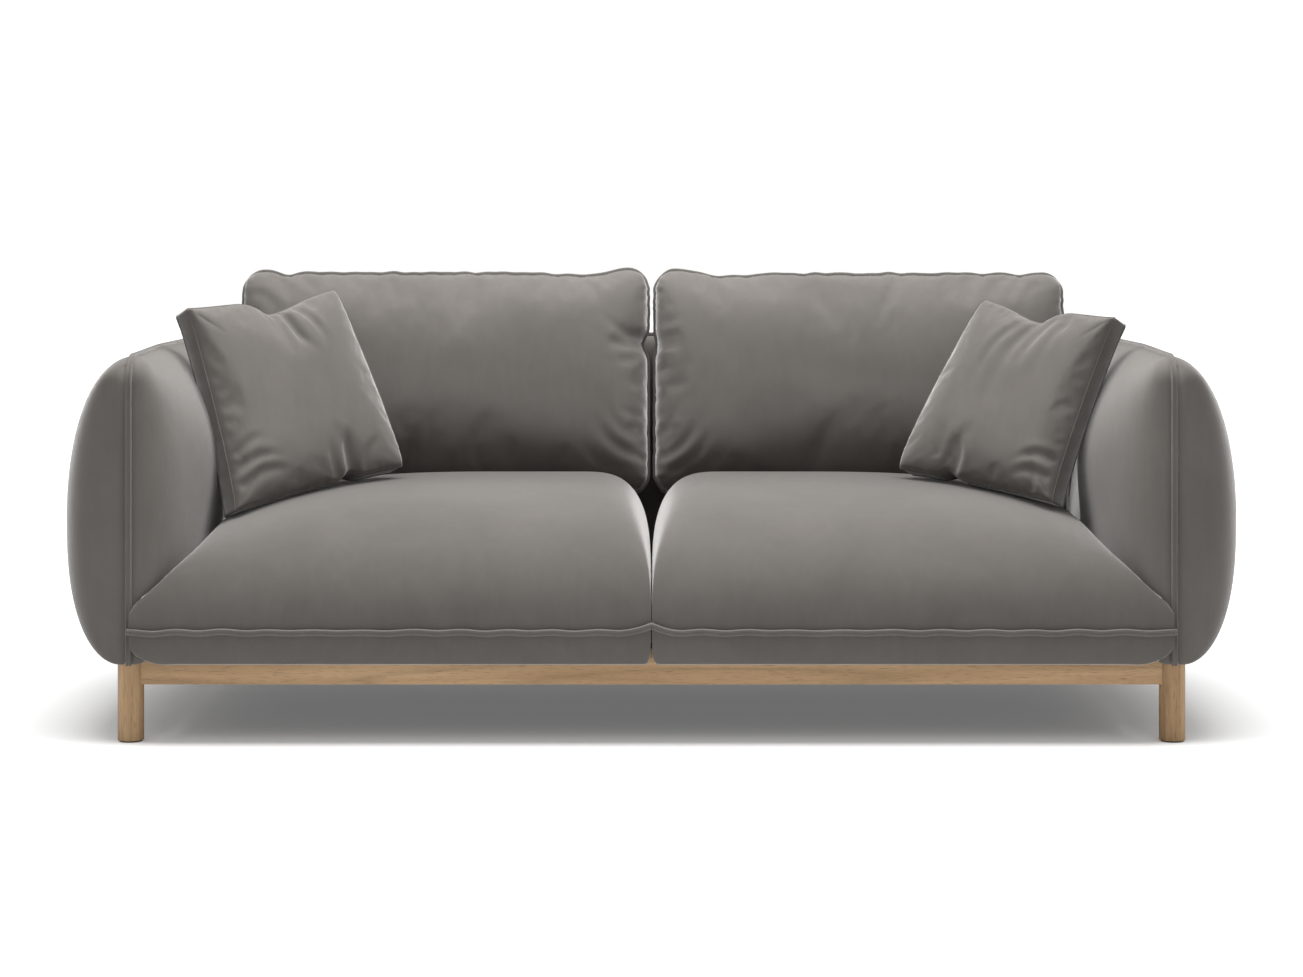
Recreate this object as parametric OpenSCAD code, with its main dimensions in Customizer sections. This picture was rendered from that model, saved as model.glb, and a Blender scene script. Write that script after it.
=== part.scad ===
// Two-seat sofa on an exposed oak base with round legs. Millimetres, +Z up.
// Origin: on the floor under the middle of the sofa. Width runs along X, and the front faces -Y.

/* [Oak base] */
// Distance from the middle of the sofa to a leg's axis, along the width
leg_x = 1000; // [900:10:1100]
// Leg diameter
leg_d = 50; // [44:1:60]
// Height of the top of the legs and rails above the floor
base_top = 180; // [160:5:220]
// Position of the front legs' axes
leg_front_y = -425; // [-430:5:-400]
// Position of the rear legs' axes
leg_rear_y = 385; // [370:5:395]
// Height of a rail's section
rail_h = 70; // [55:5:70]
// Thickness of a rail
rail_t = 25; // [22:1:30]
// Thickness of the felt glide under a leg
glide_t = 3; // [2:0.5:5]

/* [Arms] */
// Half of an arm's length, seam to seam
arm_half_len = 452; // [440:2:454]
// Height of an arm's top seam above the floor
arm_top = 745; // [700:5:760]
// Height of an arm's underside above the floor
pad_bottom = 146; // [140:1:150]
// How far an arm swells outwards from its seam
arm_out = 160; // [120:5:180]
// How far an arm swells inwards from its seam
arm_in = 110; // [80:5:112]
// Height at which the arms are fullest
arm_full_z = 420; // [380:5:460]

/* [Back] */
// Half of the back's width, before its ends are fitted round the arms
back_half_w = 985; // [960:5:990]
// Height of the back's top seam above the floor
back_top = 750; // [700:5:760]
// Position of the back's seam plane
back_seam_y = 400; // [395:1:405]
// How far the back swells to the rear of its seam
back_out = 75; // [60:1:80]
// How far the back swells to the front of its seam
back_in = 78; // [60:1:80]

/* [Seat cushions] */
// Front of the seat cushions
seat_front_y = -475; // [-480:1:-465]
// Rear of the seat cushions
seat_rear_y = 316; // [300:1:318]
// Height of the seat cushions' piping
seat_seam_z = 214; // [205:1:230]
// Height of the seat cushions' crown
seat_crown_z = 468; // [440:2:470]
// Lowest edge of the cushions' front roll, in front of the rail
seat_lip_z = 148; // [140:1:160]

/* [Back cushions] */
// Lean of the back cushions from the vertical
lean = 11; // [6:0.5:12]
// Height of a back cushion along its lean
bc_h = 475; // [440:5:480]
// Thickness of a back cushion
bc_t = 175; // [150:5:178]
// Outer edge of a back cushion, from the middle of the sofa
bc_outer_x = 884; // [860:1:884]

/* [Throw pillows] */
// Half of a throw pillow's side
tp_half = 203; // [190:1:210]
// Half of a throw pillow's thickness in the middle
tp_thick = 70; // [50:1:75]

/* [Hidden] */
$fn = 48;
eps = 0.1;

// Upholstery
cover_t = 3;                // velvet with its wadding backing
pipe_w = 12;                // flat piping, across the seam
pipe_h = 7;                 // flat piping, proud of the seam
fit_gap = 0.5;              // foam round a frame member
corner_r = 60;              // rounded corners of the arm and back outlines
arm_crown_n = 3;            // superellipse power of an arm seen from above
pad_up_n = 2;               // superellipse power of a pad's upper half
pad_down_n = 3;             // superellipse power of a pad's lower half
back_plan_n = 12;           // superellipse power of the back seen from above
pad_gap = 3;                // between the back's ends and the arms
outline_steps = 6;          // points in each quarter of a pad's outline
seat_gap = 2;               // from the middle of the sofa to a seat cushion
bc_gap = 3;                 // from the middle of the sofa to a back cushion

// Oak base
rail_bottom = base_top - rail_h;
housing = 7;                // depth of the flat housing that a rail's end sits in
rail_end = leg_d / 2 - housing;
dowel_d = 8;
dowel_len = 44;
dowel_in_leg = 22;
front_dowel_z = [rail_bottom + 37, rail_bottom + 59];
side_dowel_z = [rail_bottom + 26, rail_bottom + 48];
bracket_z = rail_bottom + 2;
bracket_h = 24;
bracket_t = 2.5;
bracket_reach = 75;         // along each rail, from the corner of the rails' inner faces
bracket_flange = 28;
hanger_d = 8;
hanger_len = 52;
screw_d = 4;

// Pine frames
pine_t = 45;
arm_frame_half = 425;
arm_post_w = 60;
frame_rail_h = 60;
arm_top_rail_z = 640;
arm_top_rail_h = 50;
back_frame_y = 387;
back_frame_half = 895;
back_post_w = 45;
deck_half_x = 905;
deck_bottom = 120;
dust_cover_z = 118;
deck_front_y = leg_front_y + rail_t / 2;
deck_rear_y = leg_rear_y - rail_t / 2;
strap_w = 60;
strap_t = 2;
felt_t = 4.5;
cloth_t = 1.5;
felt_z = base_top + 2 * strap_t + 0.3;
cloth_z = felt_z + felt_t + 0.2;
deck_top = cloth_z + cloth_t;
seat_bottom_z = deck_top + 1.5;

// Frame bolts
bolt_d = 8;
bolt_head_d = 14;
bolt_head_h = 5;
bolt_hole = 8.4;
side_bolt_y = [-250, 210];
back_bolt_x = [-600, 0, 600];
arm_bolt_z = [300, 590];
arm_bolt_len = 172;
base_bolt_len = 104;

// Back cushions stand on the rear of the seat cushions, in their own leaning frame
bc_foot = [288, 416];       // y and z of the rear lower edge
bc_corner_r = 35;
bc_fill_side = 60;          // seam plane, forward of the rear face

// Throw pillows: middle, and the turn, tilt and roll that lean them into the corner
tp_centre = [742, -63, 655];
tp_turn = 36;
tp_tilt = 18.6;
tp_roll = 13;

velvet = "#706c67";
oak = "#b8926a";
pine = "#d8bd8c";
foam = "#e8e0b8";
steel = "#8d9094";
zinc = "#b9bcbf";
felt = "#5a5652";
strap = "#3d3f42";
black_cloth = "#2b2b2c";
wadding = "#f2f0ea";

// ---- Outlines ----

// One quarter of a superellipse of power n, from (a, 0) to just short of (0, b)
function quarter(a, b, n, steps = outline_steps) =
    [for (i = [0 : steps - 1]) let (t = 90 * i / steps)
        [a * pow(cos(t), 2 / n), b * pow(sin(t), 2 / n)]];

// Closed outline round (0, 0) from its four half-axes, with one power above and one below
function pad_outline(right, up, left, down, n_up, n_down) = concat(
    quarter(right, up, n_up),
    [for (p = quarter(up, left, n_up)) [-p[1], p[0]]],
    [for (p = quarter(left, down, n_down)) -p],
    [for (p = quarter(down, right, n_down)) [p[1], -p[0]]]);

// Rectangle with round corners, from its lowest to its highest corner
module round_rect(low, high, r) {
    for (x = [low[0] + r, high[0] - r], y = [low[1] + r, high[1] - r])
        translate([x, y]) circle(r);
    translate([low[0] + r, low[1]]) square([high[0] - low[0] - 2 * r, high[1] - low[1]]);
    translate([low[0], low[1] + r]) square([high[0] - low[0], high[1] - low[1] - 2 * r]);
}

// A 2D outline in x and z, made solid along y
module along_y(y0, y1) {
    translate([0, y1, 0]) rotate([90, 0, 0]) linear_extrude(y1 - y0) children();
}

// A 2D outline in y and z, made solid along x
module along_x(x0, x1) {
    translate([x0, 0, 0]) rotate([90, 0, 90]) linear_extrude(x1 - x0) children();
}

// A 2D outline in x and y, made solid along z
module along_z(z0, z1) {
    translate([0, 0, z0]) linear_extrude(z1 - z0) children();
}

// Box from its lowest to its highest corner
module block(low, high) {
    translate(low) cube(high - low);
}

// Box grown by g on every side
module grown_block(low, high, g) {
    block(low - [g, g, g], high + [g, g, g]);
}

// The right-hand piece as drawn, or its mirror image on the left
module on_side(side) {
    mirror([side < 0 ? 1 : 0, 0, 0]) children();
}

// ---- Oak base ----

// Leg standing at (0, 0), with flat housings for the rails towards the sofa's middle
module leg_body(to_x, to_y) {
    difference() {
        translate([0, 0, glide_t]) cylinder(h = base_top - glide_t, d = leg_d);
        translate([to_x * (rail_end + leg_d / 2), 0, rail_bottom + rail_h / 2])
            cube([leg_d, rail_t, rail_h + eps], center = true);
        translate([0, to_y * (rail_end + leg_d / 2), rail_bottom + rail_h / 2])
            cube([rail_t, leg_d, rail_h + eps], center = true);
        for (z = front_dowel_z) translate([0, 0, z]) rotate([0, to_x * 90, 0])
            translate([0, 0, rail_end - dowel_in_leg]) cylinder(h = leg_d, d = dowel_d);
        for (z = side_dowel_z) translate([0, 0, z]) rotate([-to_y * 90, 0, 0])
            translate([0, 0, rail_end - dowel_in_leg]) cylinder(h = leg_d, d = dowel_d);
        corner_axis(to_x, to_y) cylinder(h = leg_d, d = hanger_d);
    }
}

// Children along the diagonal of a corner, from just inside the leg towards the bracket
module corner_axis(to_x, to_y) {
    translate([0, 0, bracket_z + bracket_h / 2]) rotate([0, 90, atan2(to_y, to_x)])
        translate([0, 0, leg_d / 2 - 12]) children();
}

module at_leg(sx, sy) {
    translate([sx * leg_x, sy < 0 ? leg_front_y : leg_rear_y, 0]) children();
}

module leg(sx, sy) {
    color(oak) at_leg(sx, sy) leg_body(-sx, -sy);
}

module leg_glides() {
    color(felt) for (sx = [-1, 1], sy = [-1, 1]) at_leg(sx, sy)
        cylinder(h = glide_t, d = leg_d - 6);
}

// Rail along x at one end of the seat, drilled for its dowels
module cross_rail(y, bolt_xs) {
    color(oak) difference() {
        block([-leg_x + rail_end, y - rail_t / 2, rail_bottom],
            [leg_x - rail_end, y + rail_t / 2, base_top]);
        for (sx = [-1, 1], z = front_dowel_z)
            translate([sx * (leg_x - rail_end - dowel_len + dowel_in_leg), y, z])
                rotate([0, sx * 90, 0]) cylinder(h = dowel_len, d = dowel_d);
        for (x = bolt_xs) translate([x, y, 0]) base_bolt_hole();
    }
}

module side_rail(sx) {
    color(oak) difference() {
        block([sx * leg_x - rail_t / 2, leg_front_y + rail_end, rail_bottom],
            [sx * leg_x + rail_t / 2, leg_rear_y - rail_end, base_top]);
        for (z = side_dowel_z) {
            translate([sx * leg_x, leg_front_y + rail_end - eps, z])
                rotate([-90, 0, 0]) cylinder(h = dowel_len - dowel_in_leg + eps, d = dowel_d);
            translate([sx * leg_x, leg_rear_y - rail_end + eps, z])
                rotate([90, 0, 0]) cylinder(h = dowel_len - dowel_in_leg + eps, d = dowel_d);
        }
        for (y = side_bolt_y) translate([sx * leg_x, y, 0]) base_bolt_hole();
    }
}

module rail_dowels() {
    color(pine) for (sx = [-1, 1], sy = [-1, 1]) at_leg(sx, sy) {
        for (z = front_dowel_z) translate([0, 0, z]) rotate([0, -sx * 90, 0])
            translate([0, 0, rail_end - dowel_in_leg]) cylinder(h = dowel_len, d = dowel_d);
        for (z = side_dowel_z) translate([0, 0, z]) rotate([sy * 90, 0, 0])
            translate([0, 0, rail_end - dowel_in_leg]) cylinder(h = dowel_len, d = dowel_d);
    }
}

// Bent steel plate across the inside of one corner: a flange on each rail and a diagonal web
module corner_bracket(to_x, to_y) {
    inner = rail_t / 2;
    far = inner + bracket_reach;
    near = far - bracket_flange;
    t = bracket_t;
    difference() {
        translate([0, 0, bracket_z]) linear_extrude(bracket_h) scale_xy(to_x, to_y)
            polygon([[far, inner], [far, inner + t], [near + t, inner + t],
                [inner + t, near + t], [inner + t, far], [inner, far],
                [inner, near - t / 2], [near - t / 2, inner]]);
        corner_axis(to_x, to_y) cylinder(h = 2 * leg_d, d = hanger_d + 0.6);
        for (p = bracket_screw_places())
            translate([to_x * p[0], to_y * p[1], bracket_z + bracket_h / 2])
                rotate([p[2] * 90 * -to_y, (1 - p[2]) * 90 * to_x, 0])
                    translate([0, 0, -t]) cylinder(h = 3 * t, d = screw_d + 0.6);
    }
}

// Mirrors a 2D outline into one of the four corners
module scale_xy(to_x, to_y) {
    mirror([to_x < 0 ? 1 : 0, 0]) mirror([0, to_y < 0 ? 1 : 0]) children();
}

// Place of each bracket screw from the leg's axis, and 1 where it runs along y, 0 along x
function bracket_screw_places() =
    let (inner = rail_t / 2, mid = rail_t / 2 + bracket_reach - bracket_flange / 2 + 2)
    [[mid, inner, 1], [inner, mid, 0]];

module corner_brackets() {
    color(steel) for (sx = [-1, 1], sy = [-1, 1]) at_leg(sx, sy) corner_bracket(-sx, -sy);
}

module hanger_bolts() {
    color(zinc) for (sx = [-1, 1], sy = [-1, 1]) at_leg(sx, sy)
        corner_axis(-sx, -sy) cylinder(h = hanger_len, d = hanger_d);
}

// Six-sided nuts on the hanger bolts, drawn up against the brackets' webs
module hanger_nuts() {
    web = (rail_t / 2 + bracket_reach - bracket_flange + bracket_t + rail_t / 2 + bracket_t)
        / sqrt(2);
    color(zinc) for (sx = [-1, 1], sy = [-1, 1]) at_leg(sx, sy) difference() {
        corner_axis(-sx, -sy) translate([0, 0, web - leg_d / 2 + 12])
            cylinder(h = 6.5, d = 15, $fn = 6);
        corner_axis(-sx, -sy) cylinder(h = 2 * leg_d, d = hanger_d);
    }
}

module bracket_screws() {
    color(zinc) for (sx = [-1, 1], sy = [-1, 1]) at_leg(sx, sy)
        for (p = bracket_screw_places())
            translate([-sx * p[0], -sy * p[1], bracket_z + bracket_h / 2])
                rotate([p[2] * 90 * sy, (1 - p[2]) * 90 * -sx, 0]) {
                    translate([0, 0, bracket_t]) cylinder(h = 2, d = 8);
                    translate([0, 0, 0]) cylinder(h = bracket_t, d = screw_d);
                }
}

// ---- Seat deck ----

module deck_member(low, high) {
    color(pine) block(low, high);
}

module deck_frame_front() {
    deck_member([-deck_half_x, deck_front_y, deck_bottom],
        [deck_half_x, deck_front_y + pine_t, base_top]);
}

module deck_frame_rear() {
    deck_member([-deck_half_x, deck_rear_y - pine_t, deck_bottom],
        [deck_half_x, deck_rear_y, base_top]);
}

module deck_frame_side(sx) {
    on_side(sx) deck_member([deck_half_x - pine_t, deck_front_y + pine_t, deck_bottom],
        [deck_half_x, deck_rear_y - pine_t, base_top]);
}

module deck_frame_centre() {
    deck_member([-pine_t / 2, deck_front_y + pine_t, deck_bottom],
        [pine_t / 2, deck_rear_y - pine_t, base_top]);
}

// Screw heads on the pine members' inner faces, where they are driven into the oak rails
module deck_screws() {
    color(zinc) for (x = [-780, -460, -140, 140, 460, 780]) {
        translate([x, deck_front_y + pine_t, 150]) rotate([-90, 0, 0]) cylinder(h = 3, d = 11);
        translate([x, deck_rear_y - pine_t, 150]) rotate([90, 0, 0]) cylinder(h = 3, d = 11);
    }
}

// Elastic straps, nine from front to rear in each half and four across on top of them
module seat_webbing() {
    color(strap) {
        for (sx = [-1, 1], i = [0 : 8])
            translate([sx * (85 + i * 92) - strap_w / 2, deck_front_y + 5, base_top])
                cube([strap_w, deck_rear_y - deck_front_y - 15, strap_t]);
        for (i = [0 : 3])
            translate([-deck_half_x + 5, -285 + i * 170 - strap_w / 2, base_top + strap_t])
                cube([2 * deck_half_x - 10, strap_w, strap_t]);
    }
}

// Half-width of the deck pad and its cloth, clear of the arms' inner swell
deck_pad_half_x = leg_x - arm_in - 6;

module deck_felt() {
    color(wadding) block([-deck_pad_half_x, deck_front_y + 4, felt_z],
        [deck_pad_half_x, back_seam_y - back_in - 6, felt_z + felt_t]);
}

module platform_cloth() {
    color(black_cloth) block([-deck_pad_half_x, deck_front_y, cloth_z],
        [deck_pad_half_x, back_seam_y - back_in - 4, cloth_z + cloth_t]);
}

module dust_cover() {
    color(black_cloth) block([-deck_half_x, deck_front_y + 1, dust_cover_z],
        [deck_half_x, deck_rear_y - 1, dust_cover_z + cloth_t]);
}

// ---- Arms ----

// Right-hand arm's padded form, shrunk by s on every face
module arm_form(s) {
    up = arm_top - arm_full_z - s;
    down = arm_full_z - pad_bottom - s;
    translate([leg_x, 0, 0]) intersection() {
        along_y(-arm_half_len, arm_half_len) translate([0, arm_full_z])
            polygon(pad_outline(arm_out - s, up, arm_in - s, down, pad_up_n, pad_down_n));
        along_z(0, arm_top) polygon(pad_outline(arm_out - s, arm_half_len - s, arm_in - s,
            arm_half_len - s, arm_crown_n, arm_crown_n));
        along_x(-arm_in, arm_out) round_rect([-arm_half_len + s, pad_bottom + s],
            [arm_half_len - s, arm_top - s], corner_r - s);
    }
}

// Slots under an arm for the legs, the side rail and the ends of the front and rear rails
module arm_slot() {
    half = leg_d / 2 + 2;
    block([leg_x - half, leg_front_y - half, 0], [leg_x + half, leg_rear_y + half, base_top]);
    for (y = [leg_front_y, leg_rear_y])
        block([leg_x - arm_in, y - rail_t / 2 - 2, 0], [leg_x, y + rail_t / 2 + 2, base_top]);
}

// Bolt holes through the arm's rear post and on into the back
module arm_bolt_holes(d) {
    for (z = arm_bolt_z) translate([leg_x + pine_t / 2 + 12, back_frame_y, z])
        rotate([0, -90, 0]) cylinder(h = 220, d = d);
}

module arm_member(low, high, g = 0) {
    grown_block([leg_x - pine_t / 2, low[0], low[1]], [leg_x + pine_t / 2, high[0], high[1]], g);
}

module arm_post_front_shape(g = 0) {
    arm_member([-arm_frame_half, base_top + frame_rail_h],
        [-arm_frame_half + arm_post_w, arm_top_rail_z], g);
}

module arm_post_rear_shape(g = 0) {
    arm_member([arm_frame_half - arm_post_w, base_top + frame_rail_h],
        [arm_frame_half, arm_top_rail_z], g);
}

module arm_top_rail_shape(g = 0) {
    arm_member([-arm_frame_half, arm_top_rail_z],
        [arm_frame_half, arm_top_rail_z + arm_top_rail_h], g);
}

module arm_bottom_rail_shape(g = 0) {
    arm_member([-arm_frame_half, base_top], [arm_frame_half, base_top + frame_rail_h], g);
}

module arm_front_post(side) {
    color(pine) on_side(side) arm_post_front_shape();
}

module arm_rear_post(side) {
    color(pine) on_side(side) difference() {
        arm_post_rear_shape();
        arm_bolt_holes(bolt_hole);
    }
}

module arm_top_rail(side) {
    color(pine) on_side(side) arm_top_rail_shape();
}

module arm_bottom_rail(side) {
    color(pine) on_side(side) difference() {
        arm_bottom_rail_shape();
        for (y = side_bolt_y) translate([leg_x, y, 0]) base_bolt_shank(bolt_hole);
    }
}

module arm_foam(side) {
    color(foam) on_side(side) difference() {
        arm_form(cover_t);
        arm_slot();
        arm_post_front_shape(fit_gap);
        arm_post_rear_shape(fit_gap);
        arm_top_rail_shape(fit_gap);
        arm_bottom_rail_shape(fit_gap);
        arm_bolt_holes(bolt_head_d + 2);
    }
}

module arm_cover(side) {
    color(velvet) on_side(side) difference() {
        arm_form(0);
        arm_form(cover_t);
        arm_slot();
        arm_bolt_holes(bolt_head_d + 2);
    }
}

// Flat piping round the arm's seam, open at the underside
module arm_piping(side) {
    h = pipe_h;
    color(velvet) on_side(side) difference() {
        along_x(leg_x - pipe_w / 2, leg_x + pipe_w / 2) difference() {
            round_rect([-arm_half_len - h, pad_bottom - h], [arm_half_len + h, arm_top + h],
                corner_r + h);
            round_rect([-arm_half_len, pad_bottom], [arm_half_len, arm_top], corner_r);
        }
        block([leg_x - pipe_w, -arm_half_len, 0], [leg_x + pipe_w, arm_half_len, base_top]);
    }
}

// ---- Back ----

// Everything inside an arm's outline seen from above, grown by g
module arm_clearance(g) {
    for (side = [-1, 1]) on_side(side) translate([leg_x, 0, -1]) linear_extrude(2 * arm_top)
        polygon(pad_outline(arm_out + g, arm_half_len + g, arm_in + g, arm_half_len + g,
            arm_crown_n, arm_crown_n));
}

// Padded form of the back, shrunk by s on every face
module back_form(s) {
    difference() {
        back_block(s);
        arm_clearance(pad_gap + s);
    }
}

module back_block(s) {
    full_z = 400;
    intersection() {
        along_x(-back_half_w, back_half_w) translate([back_seam_y, full_z])
            polygon(pad_outline(back_out - s, back_top - full_z - s, back_in - s,
                full_z - pad_bottom - s, pad_up_n, pad_down_n));
        along_z(0, back_top) translate([0, back_seam_y])
            polygon(pad_outline(back_half_w - s, back_out - s, back_half_w - s, back_in - s,
                back_plan_n, back_plan_n));
        along_y(back_seam_y - back_in, back_seam_y + back_out)
            round_rect([-back_half_w + s, pad_bottom + s], [back_half_w - s, back_top - s],
                corner_r - s);
    }
}

// Room under the back for the rear rail, and for the deck in front of it
module back_slot() {
    block([-leg_x, leg_rear_y - rail_t / 2 - 2, 0], [leg_x, leg_rear_y + rail_t / 2 + 2, base_top]);
    block([-deck_half_x - 2, 0, 0], [deck_half_x + 2, leg_rear_y, deck_top + 1]);
}

module back_member(low, high, g = 0) {
    grown_block([low[0], back_frame_y - pine_t / 2, low[1]],
        [high[0], back_frame_y + pine_t / 2, high[1]], g);
}

module back_bottom_rail_shape(g = 0) {
    back_member([-back_frame_half, base_top], [back_frame_half, base_top + frame_rail_h], g);
}

module back_top_rail_shape(g = 0) {
    back_member([-back_frame_half + 30, arm_top_rail_z],
        [back_frame_half - 30, arm_top_rail_z + arm_top_rail_h], g);
}

// Back post whose inner edge, or middle, stands at x
module back_post_shape(x, g = 0) {
    back_member([x, base_top + frame_rail_h], [x + back_post_w, arm_top_rail_z], g);
}

left_post_x = -back_frame_half + 30;
right_post_x = back_frame_half - 30 - back_post_w;
centre_post_x = -back_post_w / 2;

module back_top_rail() {
    color(pine) back_top_rail_shape();
}

module back_bottom_rail() {
    color(pine) difference() {
        back_bottom_rail_shape();
        for (x = back_bolt_x) translate([x, leg_rear_y, 0]) base_bolt_shank(bolt_hole);
    }
}

module back_end_post(x) {
    color(pine) difference() {
        back_post_shape(x);
        for (side = [-1, 1]) on_side(side) arm_bolt_holes(bolt_hole);
    }
}

module back_centre_post() {
    color(pine) back_post_shape(centre_post_x);
}

// Elastic straps stretched across the front of the back frame
module back_webbing() {
    y = back_frame_y - pine_t / 2 - strap_t;
    color(strap) for (z = [310 : 95 : 595])
        block([left_post_x + 3, y, z - strap_w / 2],
            [right_post_x + back_post_w - 3, y + strap_t, z + strap_w / 2]);
}

module back_foam() {
    color(foam) difference() {
        back_form(cover_t);
        back_slot();
        back_bottom_rail_shape(fit_gap);
        back_top_rail_shape(fit_gap);
        for (x = [left_post_x, centre_post_x, right_post_x]) back_post_shape(x, fit_gap);
        block([left_post_x, back_frame_y - pine_t / 2 - strap_t - fit_gap, 275],
            [right_post_x + back_post_w, back_frame_y, 630]);
        for (side = [-1, 1]) on_side(side) arm_bolt_holes(bolt_head_d + 2);
    }
}

module back_cover() {
    color(velvet) difference() {
        back_form(0);
        back_form(cover_t);
        back_slot();
        block([-back_frame_half - 1, back_frame_y - pine_t / 2 - 1, base_top],
            [back_frame_half + 1, back_frame_y + pine_t / 2 + 1, base_top + frame_rail_h + 1]);
        for (side = [-1, 1]) on_side(side) arm_bolt_holes(bolt_head_d + 2);
    }
}

// Flat piping along the back's top seam, between the arms
module back_piping() {
    h = pipe_h;
    color(velvet) difference() {
        along_y(back_seam_y - pipe_w / 2, back_seam_y + pipe_w / 2) difference() {
            round_rect([-back_half_w - h, pad_bottom - h], [back_half_w + h, back_top + h],
                corner_r + h);
            round_rect([-back_half_w, pad_bottom], [back_half_w, back_top], corner_r);
        }
        for (side = [-1, 1]) on_side(side)
            block([leg_x - arm_in + 30, 0, 0], [leg_x + arm_in, 2 * back_seam_y, 2 * arm_top]);
        block([-leg_x, 0, 0], [leg_x, 2 * back_seam_y, base_top]);
    }
}

// ---- Frame bolts ----

// Clearance hole and counterbore for a bolt driven up through an oak rail
module base_bolt_hole() {
    base_bolt_shank(bolt_hole);
    translate([0, 0, rail_bottom - eps]) cylinder(h = 2 * bolt_head_h + eps, d = bolt_head_d + 1);
}

module base_bolt_shank(d) {
    translate([0, 0, rail_bottom + bolt_head_h]) cylinder(h = base_bolt_len + 1, d = d);
}

module base_bolt() {
    translate([0, 0, rail_bottom + bolt_head_h]) {
        cylinder(h = bolt_head_h, d = bolt_head_d);
        cylinder(h = base_bolt_len, d = bolt_d);
    }
}

module arm_bolt() {
    translate([leg_x + pine_t / 2, back_frame_y, 0]) rotate([0, -90, 0]) {
        cylinder(h = arm_bolt_len, d = bolt_d);
        translate([0, 0, -bolt_head_h]) cylinder(h = bolt_head_h, d = bolt_head_d);
    }
}

module frame_bolts() {
    color(zinc) {
        for (sx = [-1, 1], y = side_bolt_y) translate([sx * leg_x, y, 0]) base_bolt();
        for (x = back_bolt_x) translate([x, leg_rear_y, 0]) base_bolt();
        for (side = [-1, 1], z = arm_bolt_z) on_side(side) translate([0, 0, z]) arm_bolt();
    }
}

// ---- Loose seat cushions ----

// Right-hand seat cushion's form, shrunk by s on every face
module seat_form(s) {
    inner = seat_gap + s;
    outer = leg_x + 4 - s;
    front = seat_front_y + s;
    rear = seat_rear_y - s;
    top = seat_crown_z - s;
    inner_r = 115;          // round top corner in the middle of the sofa
    outer_fall = 450;       // how far in from the arm the top starts to fall away
    front_fall = 400;       // how far behind the front roll the crown lies
    lip_d = 29;             // front roll, from its front to the rail
    lip_h = seat_seam_z - seat_lip_z - s;
    rise = top - seat_seam_z;
    front_view = concat(
        [for (p = quarter(outer_fall, rise, 2)) [outer - outer_fall, seat_seam_z] + p],
        [for (p = quarter(inner_r, inner_r, 2)) [inner + inner_r - p[1], top - inner_r + p[0]]],
        [[inner, top - inner_r], [inner, seat_lip_z + s]],
        [for (p = quarter(lip_h, 40, 2)) [outer - 40 + p[1], seat_seam_z - p[0]]]);
    rear_top = bc_foot[1] - 4 - s;
    mid_top = bc_foot[1] + bc_t * sin(lean) - 4 - s;
    side_view = concat(
        [for (p = quarter(rise, front_fall, 2)) [front + front_fall - s - p[1], seat_seam_z + p[0]]],
        [for (p = quarter(lip_d, lip_h, 2)) [front + lip_d - s - p[0], seat_seam_z - p[1]]],
        [[front + lip_d - s, seat_lip_z + s], [leg_front_y - rail_t / 2 - 3 - s, seat_lip_z + s],
            [leg_front_y - rail_t / 2 - 3 - s, seat_bottom_z + s], [rear, seat_bottom_z + s],
            [rear, rear_top], [bc_foot[0] - bc_t * cos(lean), mid_top]]);
    difference() {
        intersection() {
            along_y(front, rear) polygon(front_view);
            along_x(inner, outer) polygon(side_view);
        }
        arm_clearance(pipe_h + 2 + s);
        block([leg_x - arm_in - pipe_h - 2 - s, 0, 0], [leg_x, seat_rear_y + 1, seat_crown_z + 1]);
    }
}

module seat_cushion_cover(side) {
    color(velvet) on_side(side) difference() {
        seat_form(0);
        seat_form(cover_t);
    }
}

module seat_cushion_core(side) {
    color(foam) on_side(side) seat_form(cover_t + 0.2);
}

// ---- Loose back cushions ----

// Moves a form drawn upright, with its rear face at y = 0 and its foot at z = 0, to its place
module lean_back() {
    translate([0, bc_foot[0], bc_foot[1]]) rotate([-lean, 0, 0]) children();
}

// Right-hand back cushion's form in its own upright frame, shrunk by s on every face
module back_cushion_form(s) {
    inner = bc_gap + s;
    outer = bc_outer_x - s;
    half = (outer - inner) / 2;
    seam = -bc_fill_side;
    front = bc_t - bc_fill_side - s;
    up = bc_h / 2 - s;
    intersection() {
        along_x(inner, outer) translate([seam, bc_h / 2])
            polygon(pad_outline(bc_fill_side - s, up, front, up, 4, 4));
        along_z(s, bc_h - s) translate([inner + half, seam])
            polygon(pad_outline(half, bc_fill_side - s, half, front, 4, 4));
        along_y(-bc_t, 0) round_rect([inner, s], [outer, bc_h - s], bc_corner_r - s);
    }
}

module back_cushion_cover(side) {
    color(velvet) on_side(side) lean_back() difference() {
        back_cushion_form(0);
        back_cushion_form(cover_t);
    }
}

module back_cushion_fill(side) {
    color(wadding) on_side(side) lean_back() back_cushion_form(cover_t + 0.2);
}

// ---- Throw pillows ----

// Lens of half-width a and half-thickness h, in x and y
module lens(a, h) {
    r = (a * a + h * h) / (2 * h);
    intersection() {
        translate([0, r - h]) circle(r, $fn = 96);
        translate([0, h - r]) circle(r, $fn = 96);
    }
}

// Square knife-edged pillow lying across y, shrunk by s on every face
module pillow_form(s) {
    a = tp_half - 2 * s;
    h = tp_thick - s;
    intersection() {
        along_z(-a, a) lens(a, h);
        along_x(-a, a) rotate(90) lens(a, h);
    }
}

// Leans the right-hand pillow into the corner of arm and back
module in_corner() {
    translate(tp_centre) rotate([0, 0, -tp_turn]) rotate([-tp_tilt, 0, 0])
        rotate([0, tp_roll, 0]) children();
}

module throw_pillow_cover(side) {
    color(velvet) on_side(side) in_corner() difference() {
        pillow_form(0);
        pillow_form(cover_t / 2);
    }
}

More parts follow.
